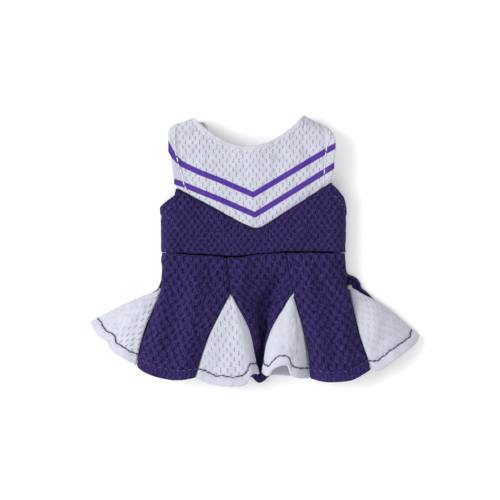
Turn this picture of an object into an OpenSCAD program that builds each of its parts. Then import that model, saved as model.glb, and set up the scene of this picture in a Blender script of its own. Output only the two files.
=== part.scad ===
// Small cheer uniform of mesh knit, lying on its back: a sleeveless bodice with a white chevron
// yoke, sewn at the waist to a flared skirt of purple panels and white godets. The back opens
// with two folding flaps under a hook and loop strip.
// +X is to the right seen from the front, +Y runs from the hem to the neck, +Z out of the chest.

/* [Fabric] */
// Thickness of one layer of mesh knit
fabric_t = 0.8; // [0.6:0.1:1.0]
// Thickness of the chevron tape
tape_t = 0.3; // [0.2:0.1:0.4]
// Width of the chevron tape
tape_w = 2.4; // [2:0.2:3]
// Thickness of the hook strip and of the loop strip
closure_t = 0.55; // [0.4:0.05:0.6]

/* [Bodice] */
// Height of the lying bodice, from the back layer to the front layer
bodice_h = 9.8; // [9.4:0.2:10.4]
// Left side of the bodice
side_left = -42.4; // [-43:0.1:-42]
// Right side of the bodice
side_right = 41; // [40.6:0.1:41.6]
// Height of the waist seam along the garment
waist_y = -1.4; // [-2:0.1:-1]

/* [Closure] */
// Where the back opening ends above the waist seam
opening_y = 6; // [5:0.5:8]
// How far each flap reaches past the centre of the back
overlap = 5; // [4:0.5:6]

/* [Stitching] */
// Length of one stitch
stitch_l = 1.8; // [1.4:0.1:2]
// Distance from one stitch to the next
stitch_pitch = 2.8; // [2.4:0.1:3.2]

/* [Hidden] */

purple = [0.20, 0.14, 0.38];
white = [0.90, 0.90, 0.94];
violet = [0.33, 0.18, 0.62];
thread = [0.94, 0.94, 0.96];

seam_gap = 0.15;            // each side of the waist seam, where the skirt folds
thread_t = 0.25;            // thickness of a stitch
thread_w = 0.35;
far = 200;                  // larger than the garment, for cutting shapes
roll_r = bodice_h / 2;      // the fabric rolls round the sides and shoulders on this radius
roll_steps = 6;
front_z = bodice_h - fabric_t;
centre_x = -1;              // middle of the back
yoke_y = 28;                // lower edge of the back yoke

// ---- outlines, seen from the front -------------------------------------------------------

neck_x = -3.2;
neck_half = 24.9;
front_neck_low = 46.4;
back_neck_low = 43.5;
neck_top = 60;
function neck_y(x, low) = low + (neck_top - low) * pow((x - neck_x) / neck_half, 2);

// The yoke seam is a V with a rounded point, a little steeper on the right.
v_x = 0.6;
v_low = 10;
v_round = 1.5;
function v_y(x) =
    v_low - v_round + norm([(x < v_x ? 0.56 : 0.65) * (x - v_x), v_round]);

// Where the yoke meets the bodice at each armhole.
left_corner = [-35.4, v_y(-35.4)];
right_corner = [33.8, v_y(33.8)];
left_shoulder = [[-38.4, 56.2], [-27.8, 59.9]];
right_shoulder = [[22.2, 60.5], [33.4, 54.8]];
left_armhole = [left_corner, [-37.3, 37], [-38.4, 43], [-38.8, 49], [-39.2, 53.6]];
right_armhole = [[35.4, 52.4], [36, 49], [35.8, 43], [35.2, 36], right_corner];
left_underarm = [[-43.6, 15.5], [-43.2, 17.5], [-42.2, 19.8], [-38.4, 22.7], [-35.7, 26]];
right_underarm = [[34.4, 29.2], [39.4, 24.4], [40.8, 20.2], [42, 15.5]];

v_steps = [-30, -24, -18, -12, -8, -5, -2, 0.6, 3, 6, 10, 15, 20, 25, 30];
v_seam = [for (x = v_steps) [x, v_y(x)]];
neck_steps = [-27.2, -24, -20, -16, -11, -6, -1, 4, 9, 14, 18, 21.6];
function neckline(low) = [for (x = neck_steps) [x, neck_y(x, low)]];
function reversed(list) = [for (i = [len(list) - 1:-1:0]) list[i]];

// The outlines run past the shoulder folds, where the fabric rolls over instead of ending.
function past(shoulder) = [for (p = shoulder) p + [0, 1]];
function shoulders_and_neck(low) =
    concat(past(left_shoulder), neckline(low), past(right_shoulder));
function yoke_outline(low) = concat(v_seam, reversed(right_armhole),
                                    reversed(shoulders_and_neck(low)), reversed(left_armhole));

// ---- shared shapes -----------------------------------------------------------------------

function arc_points(r, from, to) =
    [for (i = [0:roll_steps]) let (a = from + (to - from) * i / roll_steps) r * [cos(a), sin(a)]];
function moved(points, by) = [for (p = points) p + by];

module plate(z, t) {
    translate([0, 0, z]) linear_extrude(t) children();
}

module prism() {
    translate([0, 0, -1]) linear_extrude(bodice_h + 2) children();
}

// One layer of the yoke, flat and then rolled over its shoulder line: the front layer rolls
// down from the top (up = 1) and the back layer rolls up from below (up = -1).
module rolled_sheet(line, up) {
    p = line[0];
    q = line[1];
    outer = concat(arc_points(roll_r, 0, 90), [[-far, roll_r]]);
    inner = concat(arc_points(roll_r - fabric_t, 0, 90), [[-far, roll_r - fabric_t]]);
    section = [for (c = concat(outer, reversed(inner))) [c.x, up * c.y]];
    translate([p.x, p.y, roll_r]) rotate(atan2(q.y - p.y, q.x - p.x))
        translate([-far, -roll_r, 0]) rotate([90, 0, 90])
            linear_extrude(2 * far) polygon(section);
}

// ---- front of the bodice -----------------------------------------------------------------

roll_end = 235;             // the front rolls under the side as far as this angle
module side_to_side_band() {
    left = [side_left + roll_r, roll_r];
    right = [side_right - roll_r, roll_r];
    inner = roll_r - fabric_t;
    polygon(concat(moved(arc_points(roll_r, roll_end, 90), left),
                   moved(arc_points(roll_r, 90, 180 - roll_end), right),
                   moved(arc_points(inner, 180 - roll_end, 90), right),
                   moved(arc_points(inner, 90, roll_end), left)));
}

module front_bodice_panel() {
    bottom = waist_y + seam_gap;
    top = 31;
    color(purple) intersection() {
        translate([0, top, 0]) rotate([90, 0, 0]) linear_extrude(top - bottom)
            side_to_side_band();
        prism() polygon(concat([[-50, bottom], [-50, 15.5]], left_underarm, [left_corner],
                               v_seam, [right_corner], right_underarm,
                               [[50, 15.5], [50, bottom]]));
    }
}

module half_front_yoke(shoulder, left_x, right_x) {
    intersection() {
        rolled_sheet(shoulder, 1);
        prism() intersection() {
            polygon(yoke_outline(front_neck_low));
            translate([left_x, -far]) square([right_x - left_x, 2 * far]);
        }
    }
}

module front_yoke() {
    color(white) {
        half_front_yoke(left_shoulder, -far, 0);
        half_front_yoke(right_shoulder, 0, far);
    }
}

upper_stripe = [[-40, 48.4], [-35, 40.8], [-31, 37.9], [-16, 31.6], [-0.8, 25],
                [14.8, 34.3], [32.2, 44.8], [37, 47.4]];
lower_stripe = [[-37, 31.6], [-31.7, 29.4], [-16, 23], [0, 16],
                [15, 25.2], [33.7, 36.9], [36.4, 38.8]];
left_armhole_seam = [[-35.2, 52.4], [-35.2, 47], [-34.9, 41], [-33.4, 35], [-31.8, 29.6],
                     [-31.4, 27.4]];
left_underarm_seam = [[-33, 24.6], [-35.4, 21.8], [-37.2, 19.6]];
right_armhole_seam = [[31, 52], [32, 48], [32.2, 44], [33, 37], [31.4, 31]];
right_underarm_seam = [[30.4, 26.4], [33.2, 23.2], [35.8, 20.2]];

// A band of constant width along a route of straight runs.
module band(route, w) {
    for (i = [0:len(route) - 2]) {
        run = route[i + 1] - route[i];
        translate(route[i]) rotate(atan2(run.y, run.x)) translate([-w / 2, -w / 2])
            square([norm(run) + w, w]);
    }
}

// Width measured up and down a slanting tape, so that its corners meet in a point.
slant = tape_w * 0.56;
module tape(route) {
    difference() {
        intersection() {
            plate(bodice_h, tape_t)
                polygon(concat([for (p = route) p + [0, slant]],
                               reversed([for (p = route) p - [0, slant]])));
            prism() polygon(yoke_outline(front_neck_low));
        }
        plate(bodice_h - 1, 3) band(left_armhole_seam, 2 * thread_w);
        plate(bodice_h - 1, 3) band(right_armhole_seam, 2 * thread_w);
    }
}

module upper_chevron_stripe() {
    color(violet) tape(upper_stripe);
}

module lower_chevron_stripe() {
    color(violet) tape(lower_stripe);
}

// Stitches of equal length along a route of straight runs.
module stitches(route, z) {
    for (i = [0:len(route) - 2]) {
        p = route[i];
        run = route[i + 1] - p;
        count = max(1, floor(norm(run) / stitch_pitch));
        for (k = [0:count - 1])
            translate(concat(p + run * (k + 0.5) / count, z))
                rotate(atan2(run.y, run.x))
                    translate([-stitch_l / 2, -thread_w / 2, 0])
                        cube([stitch_l, thread_w, thread_t]);
    }
}

neck_stitch_inset = 2.6;
module neckline_topstitch() {
    route = [for (x = [-22.5, -18, -13, -8, -3, 2, 7, 12, 16.5])
             [x, neck_y(x, front_neck_low) - neck_stitch_inset * (1 + 0.02 * abs(x - neck_x))]];
    color(thread) stitches(route, bodice_h);
}

module left_armhole_topstitch() {
    color(thread) stitches(left_armhole_seam, bodice_h);
    color(thread) stitches(left_underarm_seam, bodice_h);
}

module right_armhole_topstitch() {
    color(thread) stitches(right_armhole_seam, bodice_h);
    color(thread) stitches(right_underarm_seam, bodice_h);
}

// ---- back of the bodice ------------------------------------------------------------------

// Each flap folds on a line from the foot of the opening to the neckline.
fold_top = [18.5, 45];      // from the foot of the fold to its top, on the right
fold_foot = [centre_x, opening_y];
function fold_x(y, side) = centre_x + side * fold_top.x * (y - opening_y) / fold_top.y;
fold_end_y = opening_y + fold_top.y + 8;
flap_foot_y = opening_y + 2.5;

module side_half(side) {
    translate([side > 0 ? centre_x : centre_x - far, -far]) square([far, 2 * far]);
}

module behind_fold(side) {
    polygon([[centre_x, -far], fold_foot, [fold_x(fold_end_y, side), fold_end_y],
             [side * far, fold_end_y], [side * far, -far]]);
}

module back_bodice_outline() {
    under = roll_r * (1 - cos(roll_end - 180));
    polygon(concat([[side_left + under, waist_y + seam_gap], [side_left + under, 15.5]],
                   [[-40.1, 19.8]], [left_underarm[3], left_underarm[4]],
                   left_armhole, shoulders_and_neck(back_neck_low), right_armhole,
                   [right_underarm[0]],
                   [[side_right - under, 24.4], [side_right - under, waist_y + seam_gap]]));
}

module back_outline_part(side, white_part) {
    foot = white_part ? yoke_y : -far;
    head = white_part ? far : yoke_y;
    intersection() {
        back_bodice_outline();
        side_half(side);
        behind_fold(side);
        translate([-far, foot]) square([2 * far, head - foot]);
    }
}

module left_back_panel() {
    color(purple) plate(0, fabric_t) back_outline_part(-1, false);
}

module right_back_panel() {
    color(purple) plate(0, fabric_t) back_outline_part(1, false);
}

module back_yoke(side, shoulder) {
    color(white) intersection() {
        rolled_sheet(shoulder, -1);
        prism() back_outline_part(side, true);
    }
}

module left_back_yoke() {
    back_yoke(-1, left_shoulder);
}

module right_back_yoke() {
    back_yoke(1, right_shoulder);
}

// ---- closure: the outer flap lies flat, the inner flap climbs over it ----------------------

fold_gap = 0.12;
outer_edge_x = centre_x + overlap;
inner_edge_x = centre_x - overlap;
inner_level = 0.9;                                     // the inner flap starts here
overlap_level = 2 * closure_t + fabric_t + 0.2;        // and lies here over the strips

module outer_flap(from, to) {
    shoulder_y = max(from, 19);              // the flap has its full width from here up
    plate(0, fabric_t) intersection() {
        polygon([[fold_x(from, -1) + fold_gap, from],
                 [min(outer_edge_x, fold_x(from, 1) - 0.5), from],
                 [outer_edge_x, shoulder_y], [outer_edge_x, to], [fold_x(to, -1) + fold_gap, to]]);
        back_bodice_outline();
    }
}

module left_back_flap() {
    color(purple) outer_flap(flap_foot_y, yoke_y);
}

module left_back_flap_yoke() {
    color(white) outer_flap(yoke_y, neck_top);
}

strip_w = 7;
strip_x = centre_x - strip_w / 2;
strip_foot = 19.5;
strip_l = 22;
module closure_strip(z, t) {
    plate(z, t) translate([strip_x, strip_foot]) square([strip_w, strip_l]);
}

module closure_stitching(z) {
    inset = 0.8;
    left = strip_x + inset;
    right = strip_x + strip_w - inset;
    foot = strip_foot + inset;
    head = strip_foot + strip_l - inset;
    route = [[left, foot + 1], [left, head - 1], [right, head - 1], [right, foot + 1],
             [left, foot + 1]];
    color(thread) stitches(route, z);
}

// The stitches lie in the strips' pile, so the strips have room for them.
module hook_strip() {
    color(white) difference() {
        closure_strip(fabric_t, closure_t);
        plate(fabric_t + closure_t - thread_t, 1) closure_stitch_channel();
    }
}

module loop_strip() {
    color(white) difference() {
        closure_strip(overlap_level - closure_t, closure_t);
        plate(overlap_level - closure_t - 1, 1 + thread_t) closure_stitch_channel();
    }
}

module closure_stitch_channel() {
    inset = 0.4;
    end_inset = inset + 1;
    channel_w = 0.8;
    outer = [strip_w - 2 * inset, strip_l - 2 * end_inset];
    translate([strip_x + inset, strip_foot + end_inset]) difference() {
        square(outer);
        translate([channel_w, channel_w]) square(outer - 2 * [channel_w, channel_w]);
    }
}

module hook_strip_stitching() {
    closure_stitching(fabric_t + closure_t - thread_t);
}

module loop_strip_stitching() {
    closure_stitching(overlap_level - closure_t);
}

function climb(y) = inner_level + (overlap_level - inner_level) * min(1, (y - flap_foot_y) / 7);
function inner_free_edge(y) = max(inner_edge_x, fold_x(y, -1) + 0.5);
ramp_x = centre_x + strip_w / 2 + 0.3;
function inner_flap_row(y) = [
    [fold_x(y, 1) - fold_gap, y, inner_level],
    [min(ramp_x, fold_x(y, 1) - 1.2), y, climb(y)],
    [inner_free_edge(y), y, climb(y)]];
function down_to_neck(p) = [p.x, min(p.y, neck_y(p.x, back_neck_low)), p.z];

module inner_flap(rows) {
    grid = [for (y = rows) [for (p = inner_flap_row(y)) down_to_neck(p)]];
    cloth(grid, [0], -fabric_t);
}

module right_back_flap() {
    color(purple) inner_flap([flap_foot_y, 11, 13.5, 16, 19, yoke_y]);
}

module right_back_flap_yoke() {
    color(white) inner_flap([yoke_y, 33, 38, 43, 50]);
}

// ---- cloth from a grid of points ----------------------------------------------------------

// A closed sheet: rows of points on one face, and the same points moved t along the inward
// direction, which leans from straight down by the angle given for each point.
module cloth(grid, leans, t) {
    rows = len(grid);
    columns = len(grid[0]);
    top = [for (row = grid) each row];
    under = [for (r = [0:rows - 1]) for (c = [0:columns - 1])
             let (lean = len(leans) == rows ? leans[r][c] : 0)
             grid[r][c] + t * [sin(lean), 0, -cos(lean)]];
    n = rows * columns;
    function at(r, c) = r * columns + c;
    faces = concat(
        [for (r = [0:rows - 2], c = [0:columns - 2], f = [
            [at(r, c), at(r, c + 1), at(r + 1, c + 1)], [at(r, c), at(r + 1, c + 1), at(r + 1, c)],
            [n + at(r, c), n + at(r + 1, c + 1), n + at(r, c + 1)],
            [n + at(r, c), n + at(r + 1, c), n + at(r + 1, c + 1)]]) f],
        [for (r = [0:rows - 2], f = [
            [at(r, 0), at(r + 1, 0), n + at(r + 1, 0)], [at(r, 0), n + at(r + 1, 0), n + at(r, 0)],
            [at(r, columns - 1), n + at(r + 1, columns - 1), at(r + 1, columns - 1)],
            [at(r, columns - 1), n + at(r, columns - 1), n + at(r + 1, columns - 1)]]) f],
        [for (c = [0:columns - 2], f = [
            [at(0, c), n + at(0, c + 1), at(0, c + 1)], [at(0, c), n + at(0, c), n + at(0, c + 1)],
            [at(rows - 1, c), at(rows - 1, c + 1), n + at(rows - 1, c + 1)],
            [at(rows - 1, c), n + at(rows - 1, c + 1), n + at(rows - 1, c)]]) f]);
    polyhedron(concat(top, under), t > 0 ? faces : [for (f = faces) reversed(f)], convexity = 6);
}

// ---- front of the skirt -------------------------------------------------------------------

// Each rib runs down the skirt: its place on the waist seam [x, z], then the points where it
// passes the tips of the godets, the middle of the skirt and the hem, then its inward lean.
left_tip = [-41.4, -17.1, 2.6];
left_inner_tip = [-10.7, -18.9, 9.9];
right_inner_tip = [17, -18.5, 9.9];
right_tip = [42, -15.4, 2.6];
left_side = [-41.4, 2.4];
left_seam = [-12.6, bodice_h];
right_seam = [13.9, bodice_h];
right_side = [41, 2.4];
left_side_ribs = [
    [left_side, left_tip, [-57.5, -23, 2.3], [-74.5, -32, 2.2], 50],
    [left_side, left_tip, [-54.4, -30.6, 8], [-66.6, -41.6, 7.2], 10],
    [left_side, left_tip, [-49.8, -36.6, 9.6], [-53.2, -51, 9.4], 30]];
left_ribs = [
    left_side_ribs[2],
    [[-40.2, 7.8], [-40.2, -18, 8.4], [-46.4, -37.2, 11.6], [-50.8, -53.2, 11.4], 25],
    [[-34.5, bodice_h], [-36, -19, 11.2], [-40.5, -38.5, 14], [-44, -56.2, 13.2], 0],
    [[-22.5, bodice_h], [-23.5, -20, 11.8], [-29.5, -40, 15], [-35, -57.6, 15], 0],
    [left_seam, left_inner_tip, [-20.8, -38.5, 13.2], [-26.2, -55.6, 13.6], 0]];
left_godet_ribs = [
    left_ribs[4],
    [left_seam, left_inner_tip, [-14, -39.5, 14.8], [-13.5, -60, 15.6], 0],
    [left_seam, left_inner_tip, [-7.4, -38, 13], [-4.6, -59.2, 12.8], -20],
    [left_seam, left_inner_tip, [-2.2, -37.2, 9.6], [0.6, -54.6, 8.6], -50]];
centre_ribs = [
    left_godet_ribs[3],
    [[-6, bodice_h], [-3.6, -19, 8.2], [0.2, -37.6, 5.6], [1.2, -56.6, 4.8], -55],
    [[1.2, bodice_h], [2.6, -19.4, 6.6], [1.7, -38, 3], [2.1, -59, 2.6], 0],
    [[7, bodice_h], [9.2, -19, 8.2], [3.4, -37.6, 5.8], [3, -56, 5], 55],
    [right_seam, right_inner_tip, [5.8, -37, 10], [3.6, -53.2, 9.2], 50]];
right_godet_ribs = [
    centre_ribs[4],
    [right_seam, right_inner_tip, [11.4, -38, 14.2], [9.6, -52.2, 15.6], 0],
    [right_seam, right_inner_tip, [17, -38, 13.8], [16.6, -52, 14.6], 0],
    [right_seam, right_inner_tip, [22.3, -38.4, 11.4], [24.4, -55.4, 9.8], 0]];
right_ribs = [
    right_godet_ribs[3],
    [[21.5, bodice_h], [25, -19, 11.6], [29, -39, 14], [31.8, -58.4, 13.4], 0],
    [[33.5, bodice_h], [35.6, -18, 11.2], [39.4, -39.4, 14], [42.4, -57.8, 13.4], 0],
    [[39.4, 7.8], [40.6, -16.4, 8.2], [44.2, -37, 11.4], [48.8, -54.8, 11], -25],
    [right_side, right_tip, [46.4, -37, 9.8], [51.6, -51.6, 9.2], -30]];
right_side_ribs = [
    right_ribs[4],
    [right_side, right_tip, [55, -31, 8.8], [63.6, -47.8, 8.8], -10],
    [right_side, right_tip, [58.5, -25.2, 2.5], [74.5, -39, 2.2], -50]];

hem_at = 3;                 // ribs run from 0 at the waist, by 1 at the godet tips, to the hem
godet_from = 1.1;           // a godet's tip is cut off here, where it is a thread wide
hem_stitch_at = 2.79;       // the hem is turned up as far as this line

// A smooth curve from b to c, at f from 0 to 1, with a before b and d after c.
function smooth(a, b, c, d, f) =
    b + 0.5 * f * (c - a + f * (2 * a - 5 * b + 4 * c - d + f * (3 * (b - c) + d - a)));

// A rib runs straight down to the godet tips and curves from there to the hem.
function rib_point(rib, s) =
    let (top = [rib[0].x, waist_y - seam_gap, rib[0].y], f = s - floor(s))
    s < 1 ? top + s * (rib[1] - top)
    : s < 2 ? smooth(top, rib[1], rib[2], rib[3], f)
    : smooth(rib[1], rib[2], rib[3], 2 * rib[3] - rib[2], s - 2);

rib_steps = 2;              // columns of facets from one rib to the next
function across(ribs, s, u) =
    let (last = len(ribs) - 1, i = min(floor(u), last - 1),
         b = rib_point(ribs[i], s), c = rib_point(ribs[i + 1], s),
         a = i > 0 ? rib_point(ribs[i - 1], s) : 2 * b - c,
         d = i < last - 1 ? rib_point(ribs[i + 2], s) : 2 * c - b)
    smooth(a, b, c, d, u - i);
function rib_columns(ribs) = [for (k = [0:(len(ribs) - 1) * rib_steps]) k / rib_steps];
function ribs_grid(ribs, levels, raised = 0) =
    [for (s = levels) [for (u = rib_columns(ribs)) across(ribs, s, u) + [0, 0, raised]]];

// The lean grows from nothing at the godet tips to its full angle a little lower.
lean_full_at = 1.8;
function lean_share(s) = min(1, max(0, (s - 1) / (lean_full_at - 1)));
function ribs_leans(ribs, levels) = [for (s = levels) [for (u = rib_columns(ribs))
    let (i = min(floor(u), len(ribs) - 2))
    lean_share(s) * (ribs[i][4] + (u - i) * (ribs[i + 1][4] - ribs[i][4]))]];

// Panels and godets share these levels, so that they meet along every seam.
lower_rows = 6;
godet_levels = concat([for (k = [0:lower_rows - 1])
                       godet_from + (hem_stitch_at - godet_from) * k / lower_rows],
                      [hem_stitch_at, hem_at]);
panel_levels = concat([0, 0.5, 1], godet_levels);

module gore(tint, ribs, levels) {
    color(tint) cloth(ribs_grid(ribs, levels), ribs_leans(ribs, levels), fabric_t);
}

module front_panel(ribs) {
    gore(purple, ribs, panel_levels);
}

module front_godet(ribs) {
    gore(white, ribs, godet_levels);
}

module left_side_godet() {
    front_godet(left_side_ribs);
}

module front_left_panel() {
    front_panel(left_ribs);
}

module front_left_godet() {
    front_godet(left_godet_ribs);
}

module front_centre_panel() {
    front_panel(centre_ribs);
}

module front_right_godet() {
    front_godet(right_godet_ribs);
}

module front_right_panel() {
    front_panel(right_ribs);
}

module right_side_godet() {
    front_godet(right_side_ribs);
}

module front_hem_topstitch() {
    clear = 0.05;
    stitch_row = 0.03;
    for (ribs = [left_side_ribs, left_ribs, left_godet_ribs, right_godet_ribs, right_ribs,
                 right_side_ribs])
        color(violet) cloth(ribs_grid(ribs, [hem_stitch_at, hem_stitch_at + stitch_row],
                                      clear + thread_t), [0], thread_t);
}

// ---- back of the skirt, which lies flat ---------------------------------------------------

back_left_tip = [-15, -19];
back_right_tip = [13, -19];
back_hem = [[-74, -31.4], [-70, -37.6], [-62.5, -44.2], [-50, -50.8], [-36, -54.8],
            [-21, -57], [-8, -57.8], [6, -58], [24, -58], [41, -55.2], [54, -50.6],
            [64, -46], [74, -38.6]];
function hem_between(from, to) = [for (i = [from:to]) back_hem[i]];
back_top = waist_y - seam_gap;

module back_gore(tint, outline) {
    color(tint) plate(0, fabric_t) polygon(outline);
}

module back_left_panel() {
    back_gore(purple, concat([[back_left_tip.x, back_top], [-40.3, back_top], [-41.8, -12],
                              [-44, -17.4], [-48.2, -19.8], [-58, -23.6]],
                             hem_between(0, 3), [back_left_tip]));
}

module back_left_godet() {
    back_gore(white, concat([back_left_tip], hem_between(3, 5)));
}

module back_centre_panel() {
    back_gore(purple, concat([[back_right_tip.x, back_top], [back_left_tip.x, back_top],
                              back_left_tip], hem_between(5, 7), [back_right_tip]));
}

module back_right_godet() {
    back_gore(white, concat([back_right_tip], hem_between(7, 9)));
}

module back_right_panel() {
    back_gore(purple, concat([back_right_tip], hem_between(9, 12),
                              [[57, -24.6], [51.6, -19.2], [47.4, -15], [43, -11.4],
                               [40.4, -8], [39.4, back_top], [back_right_tip.x, back_top]]));
}

module back_hem_topstitch() {
    inset = 4;
    route = [for (p = hem_between(1, 11)) p * (1 - inset / norm(p))];
    color(violet) stitches(route, fabric_t);
}

// ---- nodes --------------------------------------------------------------------------------

front_bodice_panel();
front_yoke();
upper_chevron_stripe();
lower_chevron_stripe();
neckline_topstitch();
left_armhole_topstitch();
right_armhole_topstitch();
left_back_panel();
right_back_panel();
left_back_yoke();
right_back_yoke();
left_back_flap();
left_back_flap_yoke();
hook_strip();
hook_strip_stitching();
right_back_flap();
right_back_flap_yoke();
loop_strip();
loop_strip_stitching();
left_side_godet();
front_left_panel();
front_left_godet();
front_centre_panel();
front_right_godet();
front_right_panel();
right_side_godet();
front_hem_topstitch();
back_left_panel();
back_left_godet();
back_centre_panel();
back_right_godet();
back_right_panel();
back_hem_topstitch();
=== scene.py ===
import math
import bmesh
import bpy
import numpy as np
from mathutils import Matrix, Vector
from mathutils.bvhtree import BVHTree


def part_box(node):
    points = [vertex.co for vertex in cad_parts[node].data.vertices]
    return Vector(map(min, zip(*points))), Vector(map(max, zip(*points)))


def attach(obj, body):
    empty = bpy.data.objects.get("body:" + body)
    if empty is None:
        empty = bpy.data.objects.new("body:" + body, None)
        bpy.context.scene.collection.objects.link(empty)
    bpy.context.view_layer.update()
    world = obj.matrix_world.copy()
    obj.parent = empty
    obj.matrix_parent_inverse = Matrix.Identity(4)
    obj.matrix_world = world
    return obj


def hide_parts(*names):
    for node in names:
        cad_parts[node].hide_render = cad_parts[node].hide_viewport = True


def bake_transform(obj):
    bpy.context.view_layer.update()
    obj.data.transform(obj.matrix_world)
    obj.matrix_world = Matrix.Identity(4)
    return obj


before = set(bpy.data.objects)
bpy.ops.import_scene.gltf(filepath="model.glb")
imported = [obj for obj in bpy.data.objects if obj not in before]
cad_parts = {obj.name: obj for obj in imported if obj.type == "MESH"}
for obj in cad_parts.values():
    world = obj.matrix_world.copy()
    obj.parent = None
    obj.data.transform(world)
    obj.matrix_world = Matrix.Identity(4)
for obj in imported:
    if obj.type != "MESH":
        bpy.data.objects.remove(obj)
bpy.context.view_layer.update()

# Lengths in this script are in millimetres until a mesh is made.
MM = 0.001


def box_mm(node):
    """Lowest and highest corner of a CAD node."""
    lo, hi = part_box(node)
    return np.array(lo) / MM, np.array(hi) / MM


# ---- sizes taken from the frame ------------------------------------------------------------

front_lo, front_hi = box_mm("front_bodice_panel")
skirt_top = box_mm("back_centre_panel")[1][1]
LEFT, RIGHT, TOP = front_lo[0], front_hi[0], front_hi[2]
WAIST = (front_lo[1] + skirt_top) / 2
ROLL = TOP / 2                                  # the cloth rolls round the sides on this radius
MIDDLE = (LEFT + RIGHT) / 2
FLAT = (RIGHT - LEFT) / 2 - ROLL                # half the width that lies flat
CENTRE_BACK = -1.0
YOKE_BACK = box_mm("left_back_yoke")[0][1]      # lower edge of the back yoke

# ---- the cloth -----------------------------------------------------------------------------

THICK = 0.5                                     # one layer of knit
HEM = 4.0                                       # width of a turned hem
HEM_ROLL = 0.62                                 # radius of the fold at a hem's edge
SEAM_ROUND = 0.75                               # how far a seam pulls the cloth's edge down
ALLOWANCE = 1.6                                 # cloth past a seam, on the inside
HOLE_PITCH, HOLE_ROW = 3.0, 2.1                 # spacing of the knit's holes
HOLE_HALF = 0.72                                # half the length of a hole's middle line


def ease(x, low, high):
    """0 below low, 1 above high, and smooth between."""
    t = np.clip((x - low) / (high - low), 0, 1)
    return t * t * (3 - 2 * t)


def through(x, points):
    """A soft curve through (x, y) points."""
    xs, ys = np.array(points, float).T
    i = np.clip(np.searchsorted(xs, x) - 1, 0, len(xs) - 2)
    return ys[i] + (ys[i + 1] - ys[i]) * ease(x, xs[i], xs[i + 1])


def smooth(a, b, c, d, f):
    """A smooth curve from b to c, at f from 0 to 1, with a before b and d after c."""
    return b + 0.5 * f * (c - a + f * (2 * a - 5 * b + 4 * c - d + f * (3 * (b - c) + d - a)))


def waves(seed, count, shortest, longest, height):
    """Seeded ripples over x and y, as a function."""
    draw = np.random.default_rng(seed)
    length = draw.uniform(shortest, longest, count)
    heading = draw.uniform(0, 2 * math.pi, count)
    phase = draw.uniform(0, 2 * math.pi, count)
    size = height * length / longest / math.sqrt(count)

    def ripple(x, y):
        total = np.zeros_like(x, float)
        for k in range(count):
            along = x * math.cos(heading[k]) + y * math.sin(heading[k])
            total += size[k] * np.sin(2 * math.pi * along / length[k] + phase[k])
        return total

    return ripple


soft_ripple = waves(3, 14, 9, 34, 0.55)
fine_ripple = waves(5, 24, 3, 8, 0.22)


def fold(x, y, start, end, width, height):
    """A soft ridge (or valley, if height is negative) from start to end."""
    start, end = np.array(start, float), np.array(end, float)
    run = end - start
    t = ((x - start[0]) * run[0] + (y - start[1]) * run[1]) / (run @ run)
    off = ((x - start[0]) * run[1] - (y - start[1]) * run[0]) / math.sqrt(run @ run)
    fade = ease(t, -0.25, 0.2) * (1 - ease(t, 0.8, 1.25))
    return height * fade * np.exp(-((off / width) ** 2))


# Soft folds on the front of the bodice: start, end, width, height.
BODICE_FOLDS = [
    [(-38, 3), (-30, 22), 3.0, 1.0],
    [(-41, 14), (-34, 6), 1.8, -0.7],
    [(-36, 20), (-27, 8), 2.4, -0.8],
    [(-40, 7), (-30, 3), 1.6, 0.6],
    [(-24, 18), (-16, 2), 4.0, -0.7],
    [(-14, 8), (6, 3), 2.6, 0.45],
    [(8, 14), (20, 4), 3.2, 0.5],
    [(36, 4), (28, 20), 3.0, 0.6],
    [(24, 2), (34, 9), 2.4, -0.5],
    [(-20, 50), (-31, 36), 3.4, -0.5],
    [(20, 52), (27, 38), 3.2, -0.6],
    [(-12, 42), (10, 40), 5.0, 0.5],
]


def lift(x, y):
    """How far the front of the bodice stands above its plain shape."""
    total = soft_ripple(x, y) + fine_ripple(x, y)
    for start, end, width, height in BODICE_FOLDS:
        total += fold(x, y, start, end, width, height)
    return total


# ---- grids of cloth ------------------------------------------------------------------------
# A grid is rows by columns by 3. Rows run from the neck towards the hem, columns to the right.

DOUBLED = 0.25                                  # share of the holes' painted shade that still shows where a hem's second layer lies behind them


def unit(v):
    return v / np.maximum(np.linalg.norm(v, axis=-1, keepdims=True), 1e-9)


def normals(grid):
    return unit(np.cross(np.gradient(grid, axis=0), np.gradient(grid, axis=1)))


def run_length(grid, axis):
    """Distance along the grid lines from the first row or column."""
    step = np.linalg.norm(np.diff(grid, axis=axis), axis=-1)
    return np.concatenate([np.zeros_like(np.take(step, [0], axis)), np.cumsum(step, axis)], axis)


def from_side(grid, side):
    """Distance of every point from one side of the grid."""
    axis = 0 if side in ("top", "bottom") else 1
    run = run_length(grid, axis)
    if side in ("top", "left"):
        return run
    return np.take(run, [-1], axis) - run


def side_line(grid, side):
    """The points along one side, and the row or column next to it."""
    first = {"top": 0, "left": 0, "bottom": -1, "right": -1}[side]
    second = {0: 1, -1: -2}[first]
    axis = 0 if side in ("top", "bottom") else 1
    return np.take(grid, first, axis), np.take(grid, second, axis)


def seam_rounded(grid, sides, depth=SEAM_ROUND):
    """Pulls the cloth down into a seam along each of the sides."""
    n = normals(grid)
    for side in sides:
        d = np.clip(from_side(grid, side) / (1.6 * depth), 0, 1)
        grid = grid - n * (depth * (1 - np.sqrt(1 - (1 - d) ** 2)))[..., None]
    return grid


def waist_seam(x):
    """How far the waist seam pulls the cloth down: little where the cloth turns under at a side."""
    return SEAM_ROUND * (1 - 0.85 * ease(np.abs(x), 32, 38))


def flat_seam(s):
    """Where panel meets panel, above the godets, a seam is pressed flatter."""
    return (0.2 + (SEAM_ROUND - 0.2) * ease(s, 0.95, 1.2))[:, None]


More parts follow.
